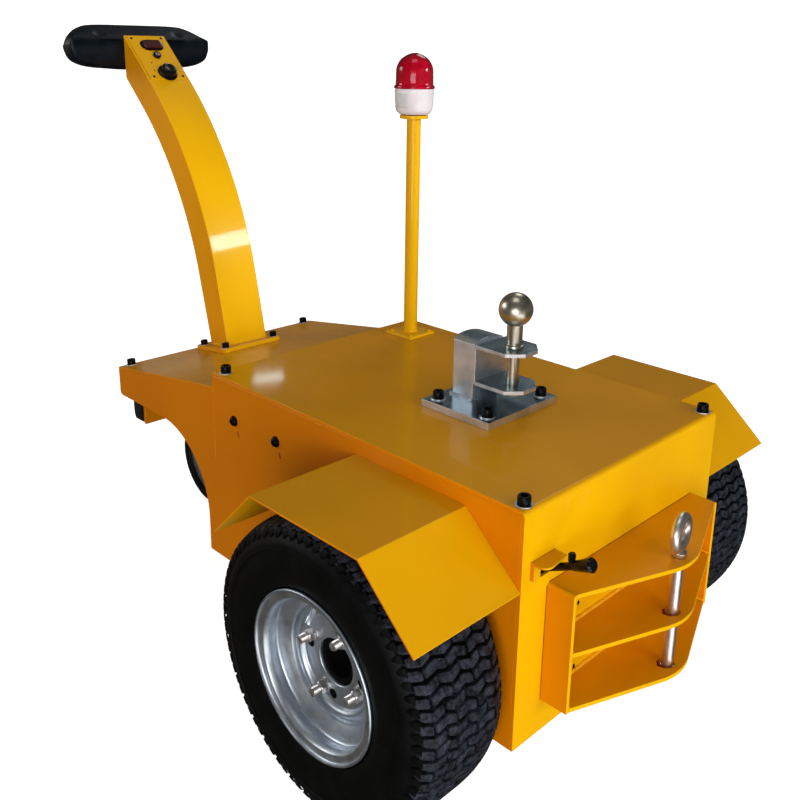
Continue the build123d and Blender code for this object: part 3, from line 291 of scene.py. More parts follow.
# the same enamel over a weld bead: thicker, so it shines in beads
WELD = weathered("yellow enamel over weld", (9.0,), [(0.3, "#E29C0A"), (0.7, "#F6B81C")], None,
                 (3.0, 4.0), 0.25, IOR=1.5, Coat_Weight=0.15, Coat_Roughness=0.08, Roughness=0.25)
# the sky tint of this zinc is a painted bluish reflection on faces that look up
ZINC = plated_steel("bright zinc plate", "#F2F2F8", "#D0D6DC", 0.20, dulled=0.26, sky="#BCD4DC")
YELLOW_ZINC = plated_steel("yellow passivated zinc", "#D6D2C4", "#AAA492", 0.30)
PIN_STEEL = plated_steel("drawn zinc-plated bar", "#E8E4E2", "#CEC8C4", 0.34)
# silver-coated pressed steel: a satin metal with cloudy patches and a fine grain
RIM_SILVER = weathered("silver coated rim steel", (22.0, 5.0, 0.65),
                       [(0.3, "#B4BCC6"), (0.7, "#D6DEE6")], [(0.3, 0.36), (0.75, 0.48)],
                       (1.6, 3.0), 0.012, Metallic=1.0)
# carbon-black tyre rubber: dull and near black, with a faint bloom
RUBBER = weathered("black tyre rubber", (30.0, 5.0, 0.65), [(0.35, "#030404"), (0.75, "#090A0B")],
                   [(0.3, 0.40), (0.7, 0.55)], (0.9, 4.0), 0.04, IOR=1.5, Specular_IOR_Level=0.12)
TREAD = worn_tread()
# dark finishes: they differ to the eye in tone, in gloss and in how coarse their grain is
BLACK_RUBBER = black_finish("moulded black rubber", "#070708", 0.5, 1.5, 0.05)
BLACK_PLASTIC = black_finish("black nylon moulding", "#020203", 0.18, 1.2, 0.01, 0.22)
SLATE = black_finish("dark slate soft grip", "#030A11", 0.34, 1.4, 0.02, 0.20)
BLACK_OXIDE = black_finish("black oxide screw", "#010102", 0.30, 0.8, 0.02, 0.14)
# painted shade: near black put where holes, slots and the wheel's bore stand in shadow
PAINTED_HOLE_SHADE = black_finish("black painted shade in recesses", "#020202", 0.8, 2.0, 0.02, 0.1)
# painted shade: brown for the shadow gaps at the front plate's joints
SEAM_SHADE = black_finish("painted shadow gap in joints", "#8A4C00", 0.7, 2.0, 0.02, 0.1)
# also the dark red painted shade round the pin's holes
THREAD_LOCK_AND_GAP_SHADE = black_finish("dried thread lock, also painted gap shade", "#5A0A00", 0.4, 2.0, 0.05)
CASTING = black_finish("grey primed casting", "#202225", 0.5, 2.0, 0.12)
# injection-moulded white ABS: slight warm tint, soft gloss
WHITE = weathered("white ABS housing", (20.0,), [(0.3, "#DCD4DA"), (0.7, "#EAE4E8")], None,
                  (1.0,), 0.01, IOR=1.53, Roughness=0.3)
# bare vinyl: flatter and a little greyer than the housing under it
LABEL = weathered("bare vinyl label", (12.0,), [(0.3, "#C9C6C8"), (0.7, "#D6D3D4")], IOR=1.5,
                  Roughness=0.55)
WHITE_MARK = gloss_plastic("white pad print", "#D8D8D8")
RED = red_lens()
LAMP = gloss_plastic("amber lamp glass", "#B05030")
RED_SWITCH = gloss_plastic("red switch rocker", "#3A0108")
BATTERY = black_finish("grey battery case", "#1B1C1F", 0.5, 2.0, 0.05)


# ---------------------------------------------------------------- surfaces
def quads(rows, cols, wrap_rows=False, wrap_cols=True):
    """Quads of a rows x cols grid numbered row by row; wrap joins the last to the first."""
    r = np.arange(rows if wrap_rows else rows - 1)[:, None]
    c = np.arange(cols if wrap_cols else cols - 1)[None, :]
    r2 = (r + 1) % rows
    c2 = (c + 1) % cols
    made = np.stack([r * cols + c, r * cols + c2, r2 * cols + c2, r2 * cols + c], axis=-1)
    return made.reshape(-1, 4)


def skin(grid, **wrap):
    """A (rows, cols, 3) grid of points with its quads."""
    return grid.reshape(-1, 3), quads(*grid.shape[:2], **wrap)


def weld(*parts):
    """Joins (points, faces) pairs into one."""
    points, faces, start = [], [], 0
    for p, f in parts:
        points.append(p)
        faces.append(f + start)
        start += len(p)
    return np.concatenate(points), np.concatenate(faces)


def full_turn(steps):
    """Angles of so many equal steps once round."""
    return np.linspace(0, 2 * np.pi, steps, endpoint=False)


def frame_of(axis):
    """The axis at unit length, and two unit vectors across it."""
    axis = np.asarray(axis, float) / np.linalg.norm(axis)
    helper = np.array([0.0, 0.0, 1.0]) if abs(axis[2]) < 0.9 else np.array([1.0, 0.0, 0.0])
    u = np.cross(helper, axis)
    u = u / np.linalg.norm(u)
    return axis, u, np.cross(axis, u)


def lathe(profile, origin=(0, 0, 0), axis=UP, steps=64, closed=False, radius_of=None):
    """origin + h axis + r (u cos t + v sin t) for each (h, r) in the profile, in mm.

    radius_of(t, row) scales the radius, for flats, ribs and knurls."""
    profile = np.asarray(profile, float) * MM
    axis, u, v = frame_of(axis)
    t = full_turn(steps)
    r = np.repeat(profile[:, 1:], steps, axis=1)
    if radius_of is not None:
        r = r * np.stack([radius_of(t, row) for row in range(len(profile))])
    ring = u * np.cos(t)[:, None] + v * np.sin(t)[:, None]
    height = profile[:, 0][:, None, None] * axis
    return skin(np.asarray(origin) + height + r[..., None] * ring, wrap_rows=closed)


def hex_rows(rows, flat=1.0):
    """Radius scale for lathe: on these rows flat / cos(angle from the middle of a hexagon's side)."""
    def scale(t, row):
        return flat / np.cos(np.mod(t, np.pi / 3) - np.pi / 6) if row in rows else np.ones_like(t)

    return scale


def ribbed_rows(rows, ribs, swing):
    """Radius scale for lathe: on these rows 1 + swing cos(ribs t)."""
    def scale(t, row):
        return 1 + swing * np.cos(ribs * t) if row in rows else np.ones_like(t)

    return scale


def tube(path, radius, sides=10, closed=False, up=UP):
    """Round section carried along a path of points: point + r (n cos t + b sin t)."""
    path = np.asarray(path, float)
    tangent = np.roll(path, -1, 0) - np.roll(path, 1, 0) if closed else np.gradient(path, axis=0)
    tangent = tangent / np.linalg.norm(tangent, axis=1, keepdims=True)
    side = np.cross(tangent, np.asarray(up, float))
    side = side / np.maximum(np.linalg.norm(side, axis=1, keepdims=True), 1e-9)
    other = np.cross(side, tangent)
    t = full_turn(sides)[:, None]
    r = np.broadcast_to(np.asarray(radius, float), (len(path),))[:, None, None]
    ring = side[:, None] * np.cos(t) + other[:, None] * np.sin(t)
    points = path[:, None] + r * ring
    if closed:
        return skin(points, wrap_rows=True)
    ends = np.stack([np.repeat(path[:1], sides, 0), np.repeat(path[-1:], sides, 0)])
    return skin(np.concatenate([ends[:1], points, ends[1:]]))


def cut_corners(points, rounds=2, closed=False):
    """Each corner is replaced by points a quarter of the way along its two sides."""
    points = np.asarray(points, float)
    for _ in range(rounds):
        after = np.roll(points, -1, 0) if closed else points[1:]
        before = points if closed else points[:-1]
        pair = np.stack([0.75 * before + 0.25 * after, 0.25 * before + 0.75 * after], axis=1)
        made = pair.reshape(-1, points.shape[1])
        points = made if closed else np.concatenate([points[:1], made, points[-1:]])
    return points


def copies(template, places, axis=UP):
    """The template, modelled along +Z at the origin, set at each place along the axis."""
    points, faces = template
    axis, u, v = frame_of(axis)
    turned_points = points[:, :1] * u + points[:, 1:2] * v + points[:, 2:] * axis
    return weld(*[(np.asarray(place) + turned_points, faces) for place in places])


def new_object(name, mesh, finish, body, replaces):
    """A smooth object of one finish that rides on a body."""
    mesh.polygons.foreach_set("use_smooth", np.ones(len(mesh.polygons), bool))
    mesh.materials.clear()
    mesh.materials.append(finish)
    made = bpy.data.objects.new(name, mesh)
    bpy.context.scene.collection.objects.link(made)
    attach(made, body)
    if replaces:
        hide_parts(*replaces)
    return made


def piece(name, surface, finish, body=CHASSIS, replaces=(), angle=32):
    """A mesh object from points and faces: doubles merged, faces outward, sharp above angle."""
    points, faces = surface
    mesh = bpy.data.meshes.new(name)
    mesh.from_pydata(points.tolist(), [], faces.tolist())
    work = bmesh.new()
    work.from_mesh(mesh)
    bmesh.ops.remove_doubles(work, verts=work.verts, dist=1e-6)
    bmesh.ops.recalc_face_normals(work, faces=work.faces)
    work.to_mesh(mesh)
    work.free()
    made = new_object(name, mesh, finish, body, replaces)
    mesh.set_sharp_from_angle(angle=math.radians(angle))
    return made


BODY_OF = {node: body for body, nodes in frame["record"]["behaviour"]["bodies"].items()
           for node in nodes}


def for_node(name, surface, finish, node, replace=True, angle=32):
    """A piece with the body of a CAD node, which it replaces unless told otherwise."""
    return piece(name, surface, finish, BODY_OF[node], [node] if replace else (), angle)


def eased(node, finish, width_mm=0.7, segments=2):
    """Copy of a CAD node whose long edges are rounded, as sheet edges are after deburring."""
    mesh = frame["nodes"][node].data.copy()
    mesh.name = node + "_eased"
    if "custom_normal" in mesh.attributes:
        mesh.attributes.remove(mesh.attributes["custom_normal"])
    work = bmesh.new()
    work.from_mesh(mesh)
    bmesh.ops.remove_doubles(work, verts=work.verts, dist=2e-6)
    bmesh.ops.dissolve_limit(work, angle_limit=math.radians(1.0), verts=work.verts,
                             edges=work.edges)
    work.to_mesh(mesh)
    work.free()
    made = new_object(node + "_eased", mesh, finish, BODY_OF[node], [node])
    edge = made.modifiers.new("rounded edges", "BEVEL")
    edge.width = width_mm * MM
    edge.segments = segments
    edge.limit_method = "ANGLE"
    edge.angle_limit = math.radians(28)
    edge.harden_normals = True


# ---------------------------------------------------------------- painted body
# each sheet takes an enamel with painted light and shade: the sides' copy darker, the jaw's, the
# post's and the tube's lighter
for sheet in ("deck_sheet", "tail_plate", "fender_left", "fender_right",
              "castor_mount", "lever_hood", "floor_plate", "well_wall"):
    eased(sheet, ENAMEL, 0.8)
for sheet in ("side_plate_left", "side_plate_right", "tail_lip"):
    eased(sheet, ENAMEL_SHADED_SIDE, 0.8)
for sheet in ("jaw_shelf_top", "jaw_shelf_middle", "jaw_shelf_bottom", "jaw_side_left",
              "jaw_side_right"):
    eased(sheet, ENAMEL_LIT_JAW, 0.8)
for solid in ("tiller_plate", "control_panel"):
    eased(solid, ENAMEL_LIT_POST, 0.9)
eased("tiller_post", ENAMEL_LIT_POST, 1.8, 3)
for plated, width in (("ball_plate", 0.9), ("ball_upright", 1.2), ("ball_clevis", 1.0),
                      ("castor_plate", 1.0), ("castor_fork", 1.2)):
    eased(plated, ZINC, width)
eased("drive_axle", CASTING, 1.0)
eased("battery_block", BATTERY, 3.0)
eased("beacon_pole", ENAMEL_LIT_TUBE, 0.8)
eased("hand_lever", BLACK_PLASTIC, 0.5)
eased("castor_tyre", RUBBER, 2.0, 3)
eased("castor_wheel", RIM_SILVER, 0.8)


# ---------------------------------------------------------------- drive wheels
tyre_low, tyre_high = corners("tyre_left")
TYRE_R = half_size(tyre_low, tyre_high, 2)
TYRE_HALF = half_size(tyre_low, tyre_high, 1)
TREAD_HALF = TYRE_HALF - 10.5     # the tread's half width, without its shoulders
AXLE = np.array([(tyre_low[0] + tyre_high[0]) / 2, 0.0, (tyre_low[2] + tyre_high[2]) / 2])
TRACK = (tyre_low[1] + tyre_high[1]) / 2
rim_low, rim_high = corners("rim_left")
RIM_R = half_size(rim_low, rim_high, 2)
RIM_HALF = half_size(rim_low, rim_high, 1)
GROOVE = 7.0              # depth of the tread's grooves
ROWS = 78                 # blocks round the tyre
POINTS_ACROSS = 9         # along each edge of a block
KINK = 17.0               # across the tread, between two kinks of a groove
ZIG = 3.0                 # a groove's swing each way along the tread
GAP = 4.4                 # width of a groove
RIB_R = 184.0             # radius at which the shoulder ribs' widths are true
RIB_LEAN = 0.004          # turn from one station of a rib to the next, in radians


def crown(across):
    """Radius of the tread's outer face: flat in the middle, falling away at the shoulder."""
    return TYRE_R - 9.0 * np.abs(across / TREAD_HALF) ** 4


def on_wheel(side, across, radius, turn):
    """Points at (across outboard, radius, turn round the axle) of one wheel, in metres."""
    across, radius, turn = np.broadcast_arrays(across, radius, turn)
    return np.stack([AXLE[0] + radius * np.cos(turn) * MM, side * (TRACK + across * MM),
                     AXLE[2] + radius * np.sin(turn) * MM], axis=-1)


def turned(side, section, steps):
    """A closed section of (across, radius) points carried once round the axle."""
    section = np.asarray(section, float)
    return skin(on_wheel(side, section[:, :1], section[:, 1:], full_turn(steps)), wrap_rows=True)


def round_the_tyre(points, faces):
    """The (blocks, ..., 3) points of like blocks, with the faces of one repeated for each."""
    start = np.arange(len(points)) * (points[0].size // 3)
    return points.reshape(-1, 3), (faces[None] + start[:, None, None]).reshape(-1, 4)


def carcass(side):
    """Closed ring section: tread base, shoulder, bulging wall, bead and inside."""
    h = RIM_HALF
    outer = [
        (0.0, TYRE_R - GROOVE), (40.0, TYRE_R - GROOVE - 1.0), (58.0, TYRE_R - GROOVE - 5.0),
        (TREAD_HALF + 0.5, 188.0), (TREAD_HALF + 5.0, 182.0), (TYRE_HALF - 1.2, 174.0),
        (TYRE_HALF - 0.6, 169.5), (TYRE_HALF - 0.1, 168.0), (TYRE_HALF - 0.1, 166.6),
        (TYRE_HALF - 2.2, 165.6), (TYRE_HALF - 1.0, 155.0), (TYRE_HALF - 1.6, 140.0),
        (h - 0.5, 128.0), (h - 2.5, 121.0), (h - 4.0, RIM_R + 1.2), (h - 8.0, RIM_R + 0.2),
        (h - 12.0, RIM_R - 4.0), (h - 12.0, 104.0), (h - 24.0, 103.0),
    ]
    outer = cut_corners(outer, 2)
    inside = cut_corners([(TYRE_HALF - 13, 130.0), (TYRE_HALF - 12, 160.0), (55.0, 185.0),
                          (0.0, 189.0)], 2)
    half = np.concatenate([outer, inside])
    mirror = half[::-1][1:-1] * [-1, 1]
    return turned(side, np.concatenate([half, mirror]), 160)


def zigzag(across):
    """Triangle wave with kinks every KINK across the tread."""
    phase = np.mod(across / KINK, 2.0)
    return ZIG * (2 * np.abs(phase - 1) - 1)


def tread_blocks(side):
    """Bent blocks between zigzag grooves, each row shifted by one kink from the last.

    A block is a grid over (across, along); its skirt drops to the groove floor."""
    pitch = 2 * np.pi * TYRE_R / ROWS
    # height from the tread's face, and scale of the outline there
    levels = ((-GROOVE - 1.0, 1.10), (-1.4, 1.0), (-0.35, 0.97), (0.0, 0.88))
    made = []
    for parity in (0, 1):
        rows = np.arange(parity, ROWS, 2)
        for kink in range(-4 + parity, 5, 2):
            left = max(kink * KINK - KINK + GAP / 2, -TREAD_HALF - 2)
            right = min(kink * KINK + KINK - GAP / 2, TREAD_HALF + 2)
            across = left + (right - left) * np.linspace(0, 1, POINTS_ACROSS)
            reach = pitch / 2 - GAP / 2
            taper = np.clip(np.minimum(across - left, right - across) / 2.0, 0.0, 1.0)
            reach = reach - 1.2 * (1 - taper) ** 2
            ring_a = np.concatenate([across, across[::-1]])
            middle = zigzag(ring_a)
            spread = np.concatenate([-reach, reach[::-1]])
            centre = (left + right) / 2
            rings = [np.stack([centre + (ring_a - centre) * (1 - (1 - scale) * 0.45),
                               middle + spread * scale, np.full_like(ring_a, drop)], -1)
                     for drop, scale in levels]
            grid = np.stack(rings)
            angle = rows[:, None, None] * pitch / TYRE_R + grid[..., 1] / TYRE_R
            radius = crown(grid[..., 0]) + grid[..., 2]
            points = on_wheel(side, grid[..., 0], radius, angle)
            faces = quads(*grid.shape[:2])
            last = (grid.shape[0] - 1) * grid.shape[1]
            i = np.arange(POINTS_ACROSS - 1)
            far = last + 2 * POINTS_ACROSS - 1 - i
            lid = np.stack([last + i, last + i + 1, far - 1, far], -1)
            made.append(round_the_tyre(points, np.concatenate([faces, lid])))
    return weld(*made)


def shoulder_ribs(side):
    """Ribs from the tread's edge down the shoulder: a wedge whose height dies away inwards.

    Each rib is a ring of four edges at five stations, which lean round the tyre as they go in."""
    turn = (np.arange(ROWS) + 0.5) * 2 * np.pi / ROWS
    made = []
    radius = np.array([193.5, 190.5, 187.0, 183.5, 180.0])
    out = TREAD_HALF + np.array([0.6, 2.4, 4.4, 5.6, 6.2])
    height = np.array([1.4, 1.3, 1.0, 0.5, -0.4])
    width = np.array([5.4, 5.0, 4.0, 2.6, 1.0])
    lean = np.arange(len(radius)) * RIB_LEAN
    for face in (1, -1):
        rise = np.array([-1.6, 0.0, 0.0, -1.6])[:, None] + np.array([0, 1, 1, 0])[:, None] * height
        shift = np.array([-1.15, -0.85, 0.85, 1.15])[:, None] * width
        angle = turn[:, None, None] + shift / RIB_R + lean
        points = on_wheel(side, face * (out + rise), radius, angle)
        faces = quads(4, len(radius), wrap_rows=True, wrap_cols=False)
        end_caps = [[0, 5, 10, 15], [4, 9, 14, 19]]
        made.append(round_the_tyre(points, np.concatenate([faces, end_caps])))
    return weld(*made)


def rim_barrel(side):
    """Closed section of the rim, 3 mm thick: flange curl, bead seat, hump and drop well."""
    h, r = RIM_HALF, RIM_R
    outer = [
        (h - 0.6, r - 1.6), (h - 2.6, r), (h - 6.5, r - 1.5), (h - 8.6, r - 6.0),
        (h - 9.0, 101.8), (h - 22.0, 101.0), (h - 26.0, 103.4), (h - 31.0, 101.5),
        (h - 39.0, 84.0), (h - 46.0, 82.0), (0.0, 82.0),
    ]
    inner = [
        (0.0, 78.6), (h - 44.0, 78.6), (h - 40.0, 79.2), (h - 36.5, 81.0), (h - 30.5, 94.5),
        (h - 29.0, 98.6), (h - 26.5, 100.6), (h - 24.0, 99.8), (h - 22.5, 97.4),
        (h - 13.0, 97.0), (h - 9.5, 98.4), (h - 6.0, 100.4), (h - 5.0, 102.4),
        (h - 5.2, r - 7.0), (h - 3.6, r - 4.2), (h - 0.8, r - 3.4),
    ]
    half = np.concatenate([cut_corners(outer, 2)[::-1], cut_corners(inner[::-1], 1)])
    return turned(side, np.concatenate([half, half[::-1] * [-1, 1]]), 144)


DISC_FACE = 29.0          # outboard of the tyre's middle
BORE = 32.0               # radius of the disc's bore
STUD_CIRCLE = 50.0        # radius on which the studs stand
STUD_TURN = math.radians(-25)
STUDS = 4
THREAD_PITCH = 1.3


def wheel_disc(side):
    """Pressed disc, 4 mm thick: flat nave round the bore, raised ring, then a step to the well."""
    d = DISC_FACE
    face = [(d - 2.5, BORE), (d - 0.4, BORE + 0.6), (d, BORE + 2.5), (d, 60.5), (d + 0.6, 62.0),
            (d + 3.6, 63.5), (d + 6.0, 66.0), (d + 6.6, 68.0), (d + 6.0, 70.0), (d + 2.4, 72.0),
            (d + 1.6, 75.0), (d + 2.4, 77.6), (d + 2.0, 79.0)]
    back = [(y - 4.0, radius) for y, radius in face[::-1]]
    return turned(side, np.concatenate([cut_corners(face, 1), cut_corners(back, 1)]), 144)


def wheel_hub(side):
    """Flange behind the disc, the bore and its floor, and the barrel to the axle."""
    d = DISC_FACE - 4.0
    return turned(side, [(d - 0.2, 24.0), (d - 0.2, 65.9), (d - 12, 65.9), (d - 14, 40.0),
                         (d - 88.7, 40.0), (d - 88.7, 17.6), (d - 20, 17.6), (d - 20, 24.0)], 72)


def stud_template():
    """Wheel nut with its washer face, and the stud's thread standing out of it."""
    nut = lathe([(-0.5, 0.0), (-0.5, 10.2), (1.6, 10.2), (2.0, 9.0), (2.2, 9.0), (11.0, 9.0),
                 (12.2, 8.0), (12.2, 5.8), (12.2, 0.0)], steps=48, radius_of=hex_rows((4, 5), 0.94))
    thread = [(12.0, 0.0), (12.0, 5.6)]
    for index in range(8):
        thread += [(12.4 + index * THREAD_PITCH, 6.0), (13.05 + index * THREAD_PITCH, 5.3)]
    thread += [(23.4, 5.2), (23.9, 4.2), (23.9, 0.0)]
    return nut, lathe(thread, steps=24)


def on_studs(template, side, turn=0.0):
    """The template on the disc's face at each stud, or turned on from the studs."""
    angle = STUD_TURN + turn + np.arange(STUDS) * 2 * np.pi / STUDS
    places = on_wheel(side, DISC_FACE, STUD_CIRCLE, angle)
    return copies(template, places, (0.0, float(side), 0.0))


def valve(side):
    """Clamped steel valve stem leaning out of the well, with its ribbed cap."""
    foot = on_wheel(side, RIM_HALF - 37.0, 82.0, STUD_TURN + 2.35)
    away = np.array([AXLE[0], foot[1], AXLE[2]]) - foot
    axis = away / np.linalg.norm(away) * 0.75 + np.array([0, side * 0.66, 0])
    return lathe([(-3, 0.0), (-3, 6.5), (0, 6.5), (6, 4.4), (18, 3.8), (18, 4.8), (27, 4.6),
                  (28, 3.8), (28, 0.0)], foot, axis, 24, radius_of=ribbed_rows((5, 6), 8, 0.07))


for name, side in (("left", 1), ("right", -1)):
    body = f"drive_wheel_{name}"
    piece(f"tyre_carcass_{name}", carcass(side), RUBBER, body, [f"tyre_{name}"])
    piece(f"tread_blocks_{name}", tread_blocks(side), TREAD, body, angle=40)
    piece(f"shoulder_ribs_{name}", shoulder_ribs(side), RUBBER, body)
    piece(f"rim_barrel_{name}", rim_barrel(side), RIM_SILVER, body, [f"rim_{name}"],
          angle=24)
    piece(f"wheel_disc_{name}", wheel_disc(side), RIM_SILVER, body,
          [f"rim_{name}"], angle=24)
    # the hub is painted near black all over, as the shade in the disc's bore
    piece(f"wheel_hub_{name}", wheel_hub(side), PAINTED_HOLE_SHADE, body, [f"hub_{name}"])
    nuts = weld(*[on_studs(template, side) for template in stud_template()])
    piece(f"wheel_nuts_{name}", nuts, PIN_STEEL, body)
    # painted shade: a dark ring beside each nut, where the hole round the stud lies in shadow
    hole = lathe([(0.05, 0.0), (0.05, 6.2), (0.5, 6.6), (0.9, 5.8), (0.3, 5.0), (0.3, 0.0)], steps=24)
    piece(f"disc_hole_shades_{name}", on_studs(hole, side, turn=0.34), PAINTED_HOLE_SHADE, body)
    piece(f"tyre_valve_{name}", valve(side), RIM_SILVER, body)


# ---------------------------------------------------------------- small shapes
def rounded(width, height, corner):
    """Outline of a rectangle whose corners are cut and then rounded, as (n, 2) in mm."""
    w, h, c = width / 2, height / 2, corner
    points = [(w, -h + c), (w, h - c), (w - c, h), (-w + c, h), (-w, h - c), (-w, -h + c),
              (-w + c, -h), (w - c, -h)]
    return cut_corners(points, 2, closed=True)


def stack(outline, levels, origin, across, along, shear=0.0):
    """Rings of the outline, drawn in by each level's inset at its height, closed by a centre.

    The point is origin + a across + b along + height normal; shear lifts it by shear times a."""
    across, along = np.asarray(across, float), np.asarray(along, float)
    normal = np.cross(across, along)
    half = np.abs(outline).max(axis=0)
    rings = [(outline * (1 - inset / half), height) for height, inset in levels]
    first, last = rings[0], rings[-1]
    rings = [(first[0] * 0, first[1])] + rings + [(last[0] * 0, last[1])]
    flat = np.stack([ring for ring, _ in rings])
    high = np.array([height for _, height in rings])[:, None]
    high = high + shear * flat[..., 0] * (high > 0)
    points = (np.asarray(origin, float) + (flat[..., :1] * across + flat[..., 1:] * along
              + high[..., None] * normal) * MM)
    return skin(points)


def bead(path, radius, wave=0.3, pitch=3.2):
    """Weld bead along a path: a tube whose radius ripples once every pitch."""
    path = np.asarray(path, float)
    step = np.linalg.norm(np.diff(path, axis=0), axis=1)
    run = np.concatenate([[0.0], np.cumsum(step)])
    at_run = np.linspace(0, run[-1], max(int(run[-1] / (0.8 * MM)), 8))
    line = np.stack([np.interp(at_run, run, path[:, k]) for k in range(3)], -1)
    swell = radius * MM * (1 - wave + wave * np.abs(np.sin(np.pi * at_run / (pitch * MM))))
    return tube(line, swell, 8, up=(0.31, 0.29, 0.9))


def cap_screw(size):
    """Socket head: knurled side, eased rim, hexagon socket; lengths follow the thread size."""
    r = size * 0.75
    rows = [(0.0, 0.0), (0.0, r * 0.97), (size * 0.08, r), (size * 0.86, r), (size, r * 0.9),
            (size, size * 0.5), (size * 0.97, size * 0.45), (size * 0.5, size * 0.45),
            (size * 0.46, 0.0)]
    knurl, socket = ribbed_rows((2, 3), 24, 0.018), hex_rows((6, 7), 0.95)
    return lathe(rows, steps=72, radius_of=lambda t, row: knurl(t, row) * socket(t, row))


def button_screw(size):
    """Low domed head with a hexagon socket."""
    r = size * 0.9
    rows = [(0.0, 0.0), (0.0, r), (size * 0.16, r), (size * 0.40, r * 0.86), (size * 0.55, r * 0.62),
            (size * 0.58, size * 0.40), (size * 0.30, size * 0.36), (size * 0.30, 0.0)]
    return lathe(rows, steps=36, radius_of=hex_rows((5, 6), 0.95))


def washer(inner, outer, thick):
    """Flat disc with an eased edge; the middle is closed, since a screw covers it."""
    return lathe([(0, 0.0), (0, outer), (thick * 0.8, outer), (thick, outer * 0.97),
                  (thick, inner), (thick, 0.0)], steps=40)


# ---------------------------------------------------------------- rear pad
pad_low, pad_high = corners("rear_bumper")
for_node("rear_pad", stack(rounded(378.0, 68.0, 5.0), [(0.0, 0), (25.0, 0), (30.0, 1.6), (32.0, 6.0)],
                           (pad_high[0], 0, pad_low[2] + 0.036), (0, -1, 0), UP),
         BLACK_RUBBER, "rear_bumper")


# ---------------------------------------------------------------- screws
TAIL_STEP_TOP = DECK - 0.024
TAIL_FALL = (TAIL_STEP_TOP - TAIL_LOW[2] - 0.004) / (TAIL_START - TAIL_END)
TAIL_NORMAL = np.array([-TAIL_FALL, 0.0, 1.0]) / math.hypot(TAIL_FALL, 1.0)


def tail_height(x):
    """Upper face of the sloping tail at x."""
    return TAIL_STEP_TOP - TAIL_FALL * (TAIL_START - x)


ball_low, ball_high = corners("ball_plate")
foot_low, foot_high = corners("tiller_plate")
pole_low, pole_high = corners("beacon_pole")
FOOT_THICK = 0.008        # of the tiller's foot plate

screws = []               # place, axis, thread diameter in mm
# corners of the deck, the tail, the tiller's foot and the ball plate
for x in (TAIL_START + 0.017, FRONT - 0.0145):
    for y in (-0.213, 0.213):
        screws.append(((x, y, DECK), UP, 11.0))
for y in (-0.208, 0.204):
    x = TAIL_END + 0.012
    screws.append(((x, y, tail_height(x)), TAIL_NORMAL, 10.0))
for x in (foot_low[0] + 0.0175, foot_high[0] - 0.0105):
    for y in (-0.057, 0.056):
        top_place = np.array([x, y, tail_height(x)]) + TAIL_NORMAL * FOOT_THICK
        screws.append((top_place, TAIL_NORMAL, 9.0))
for x in (ball_low[0] + 0.0175, ball_high[0] - 0.0175):
    for y in (ball_low[1] + 0.018, ball_high[1] - 0.018):
        screws.append(((x, y, ball_high[2]), UP, 11.0))

black, zinc = [], []
for place, axis, size in screws:
    thick = 1.8 if size > 9 else 1.2
    unit = frame_of(axis)[0]
    black.append(copies(cap_screw(size), [np.asarray(place) + unit * thick * MM], axis))
    zinc.append(copies(washer(size * 0.5, size * 1.02, thick), [place], axis))
piece("cap_screws", weld(*black), BLACK_OXIDE, CHASSIS)
piece("screw_washers", weld(*zinc), ZINC, CHASSIS)

SIDE_SCREW_Z = 0.379
RUN_TOP_Z = 0.364         # a run of dried thread lock starts here, below and ahead of each screw
side_screws, side_washers, runs = [], [], []
for x in (TAIL_START + 0.0595, TAIL_START + 0.1695):
    for out in (-1, 1):
        place = np.array([x, out * HALF, SIDE_SCREW_Z])
        side_washers.append(copies(washer(4.0, 9.0, 0.8), [place], (0, out, 0)))
        side_screws.append(copies(button_screw(9.0), [place + (0, out * 0.0008, 0)], (0, out, 0)))
        drop = np.array([x + 0.0085, out * (HALF + 0.0001), RUN_TOP_Z])
        line = drop + np.linspace(0, 1, 9)[:, None] * np.array([0.0025, 0, -0.010])
        runs.append(tube(line, np.array([0.2, 0.7, 1.0, 0.9, 0.8, 0.9, 1.1, 0.9, 0.2]) * MM, 8))
# the hand lever's bolt with its washer
bolt = [(3.0, 0.0), (3.0, 2.6), (7.6, 2.6), (7.6, 4.8), (8.2, 4.8), (8.4, 4.2), (16.8, 4.2),
        (17.6, 3.4), (17.6, 0.0)]
LEVER_PIVOT = (FRONT + 0.0342, -0.178, 0.3712)
lever_bolt = lathe(bolt, LEVER_PIVOT, steps=36, radius_of=hex_rows((5, 6), 0.94))
for_node("lever_bolt", lever_bolt, BLACK_OXIDE, "hand_lever", False)
piece("side_cap_screws", weld(*side_screws), BLACK_OXIDE, CHASSIS)
piece("side_screw_washers", weld(*side_washers), BLACK_OXIDE, CHASSIS)
piece("thread_lock_runs", weld(*runs), THREAD_LOCK_AND_GAP_SHADE)

# ---------------------------------------------------------------- seams and weld beads
seams = []
for out in (-1, 1):
    y = out * HALF
    seams.append(tube(np.array([(TAIL_START, y, z) for z in np.linspace(0.296, 0.419, 12)]),
                      0.0009, 8, up=(1, 0.1, 0)))
piece("side_seams", weld(*seams), ENAMEL_SHADED_SIDE)

pin_low, pin_high = corners("hitch_pin")
PIN_X = (pin_low[0] + pin_high[0]) / 2
side_low, side_high = corners("jaw_side_left")
JAW_HALF = side_high[1]
shelf_tops = [corners(f"jaw_shelf_{level}")[1][2] for level in ("middle", "bottom")]
beads = []
for z in (top + 0.001 for top in shelf_tops):
    inner = JAW_HALF - 0.008
    beads.append(bead([(FRONT + 0.0015, -inner, z), (FRONT + 0.0015, inner, z)], 3.0))
    for out in (-1, 1):
        y = out * (JAW_HALF - 0.0072)
        beads.append(bead([(FRONT + 0.004, y, z), (FRONT + 0.040, y, z)], 2.0))
piece("jaw_weld_beads", weld(*beads), WELD)
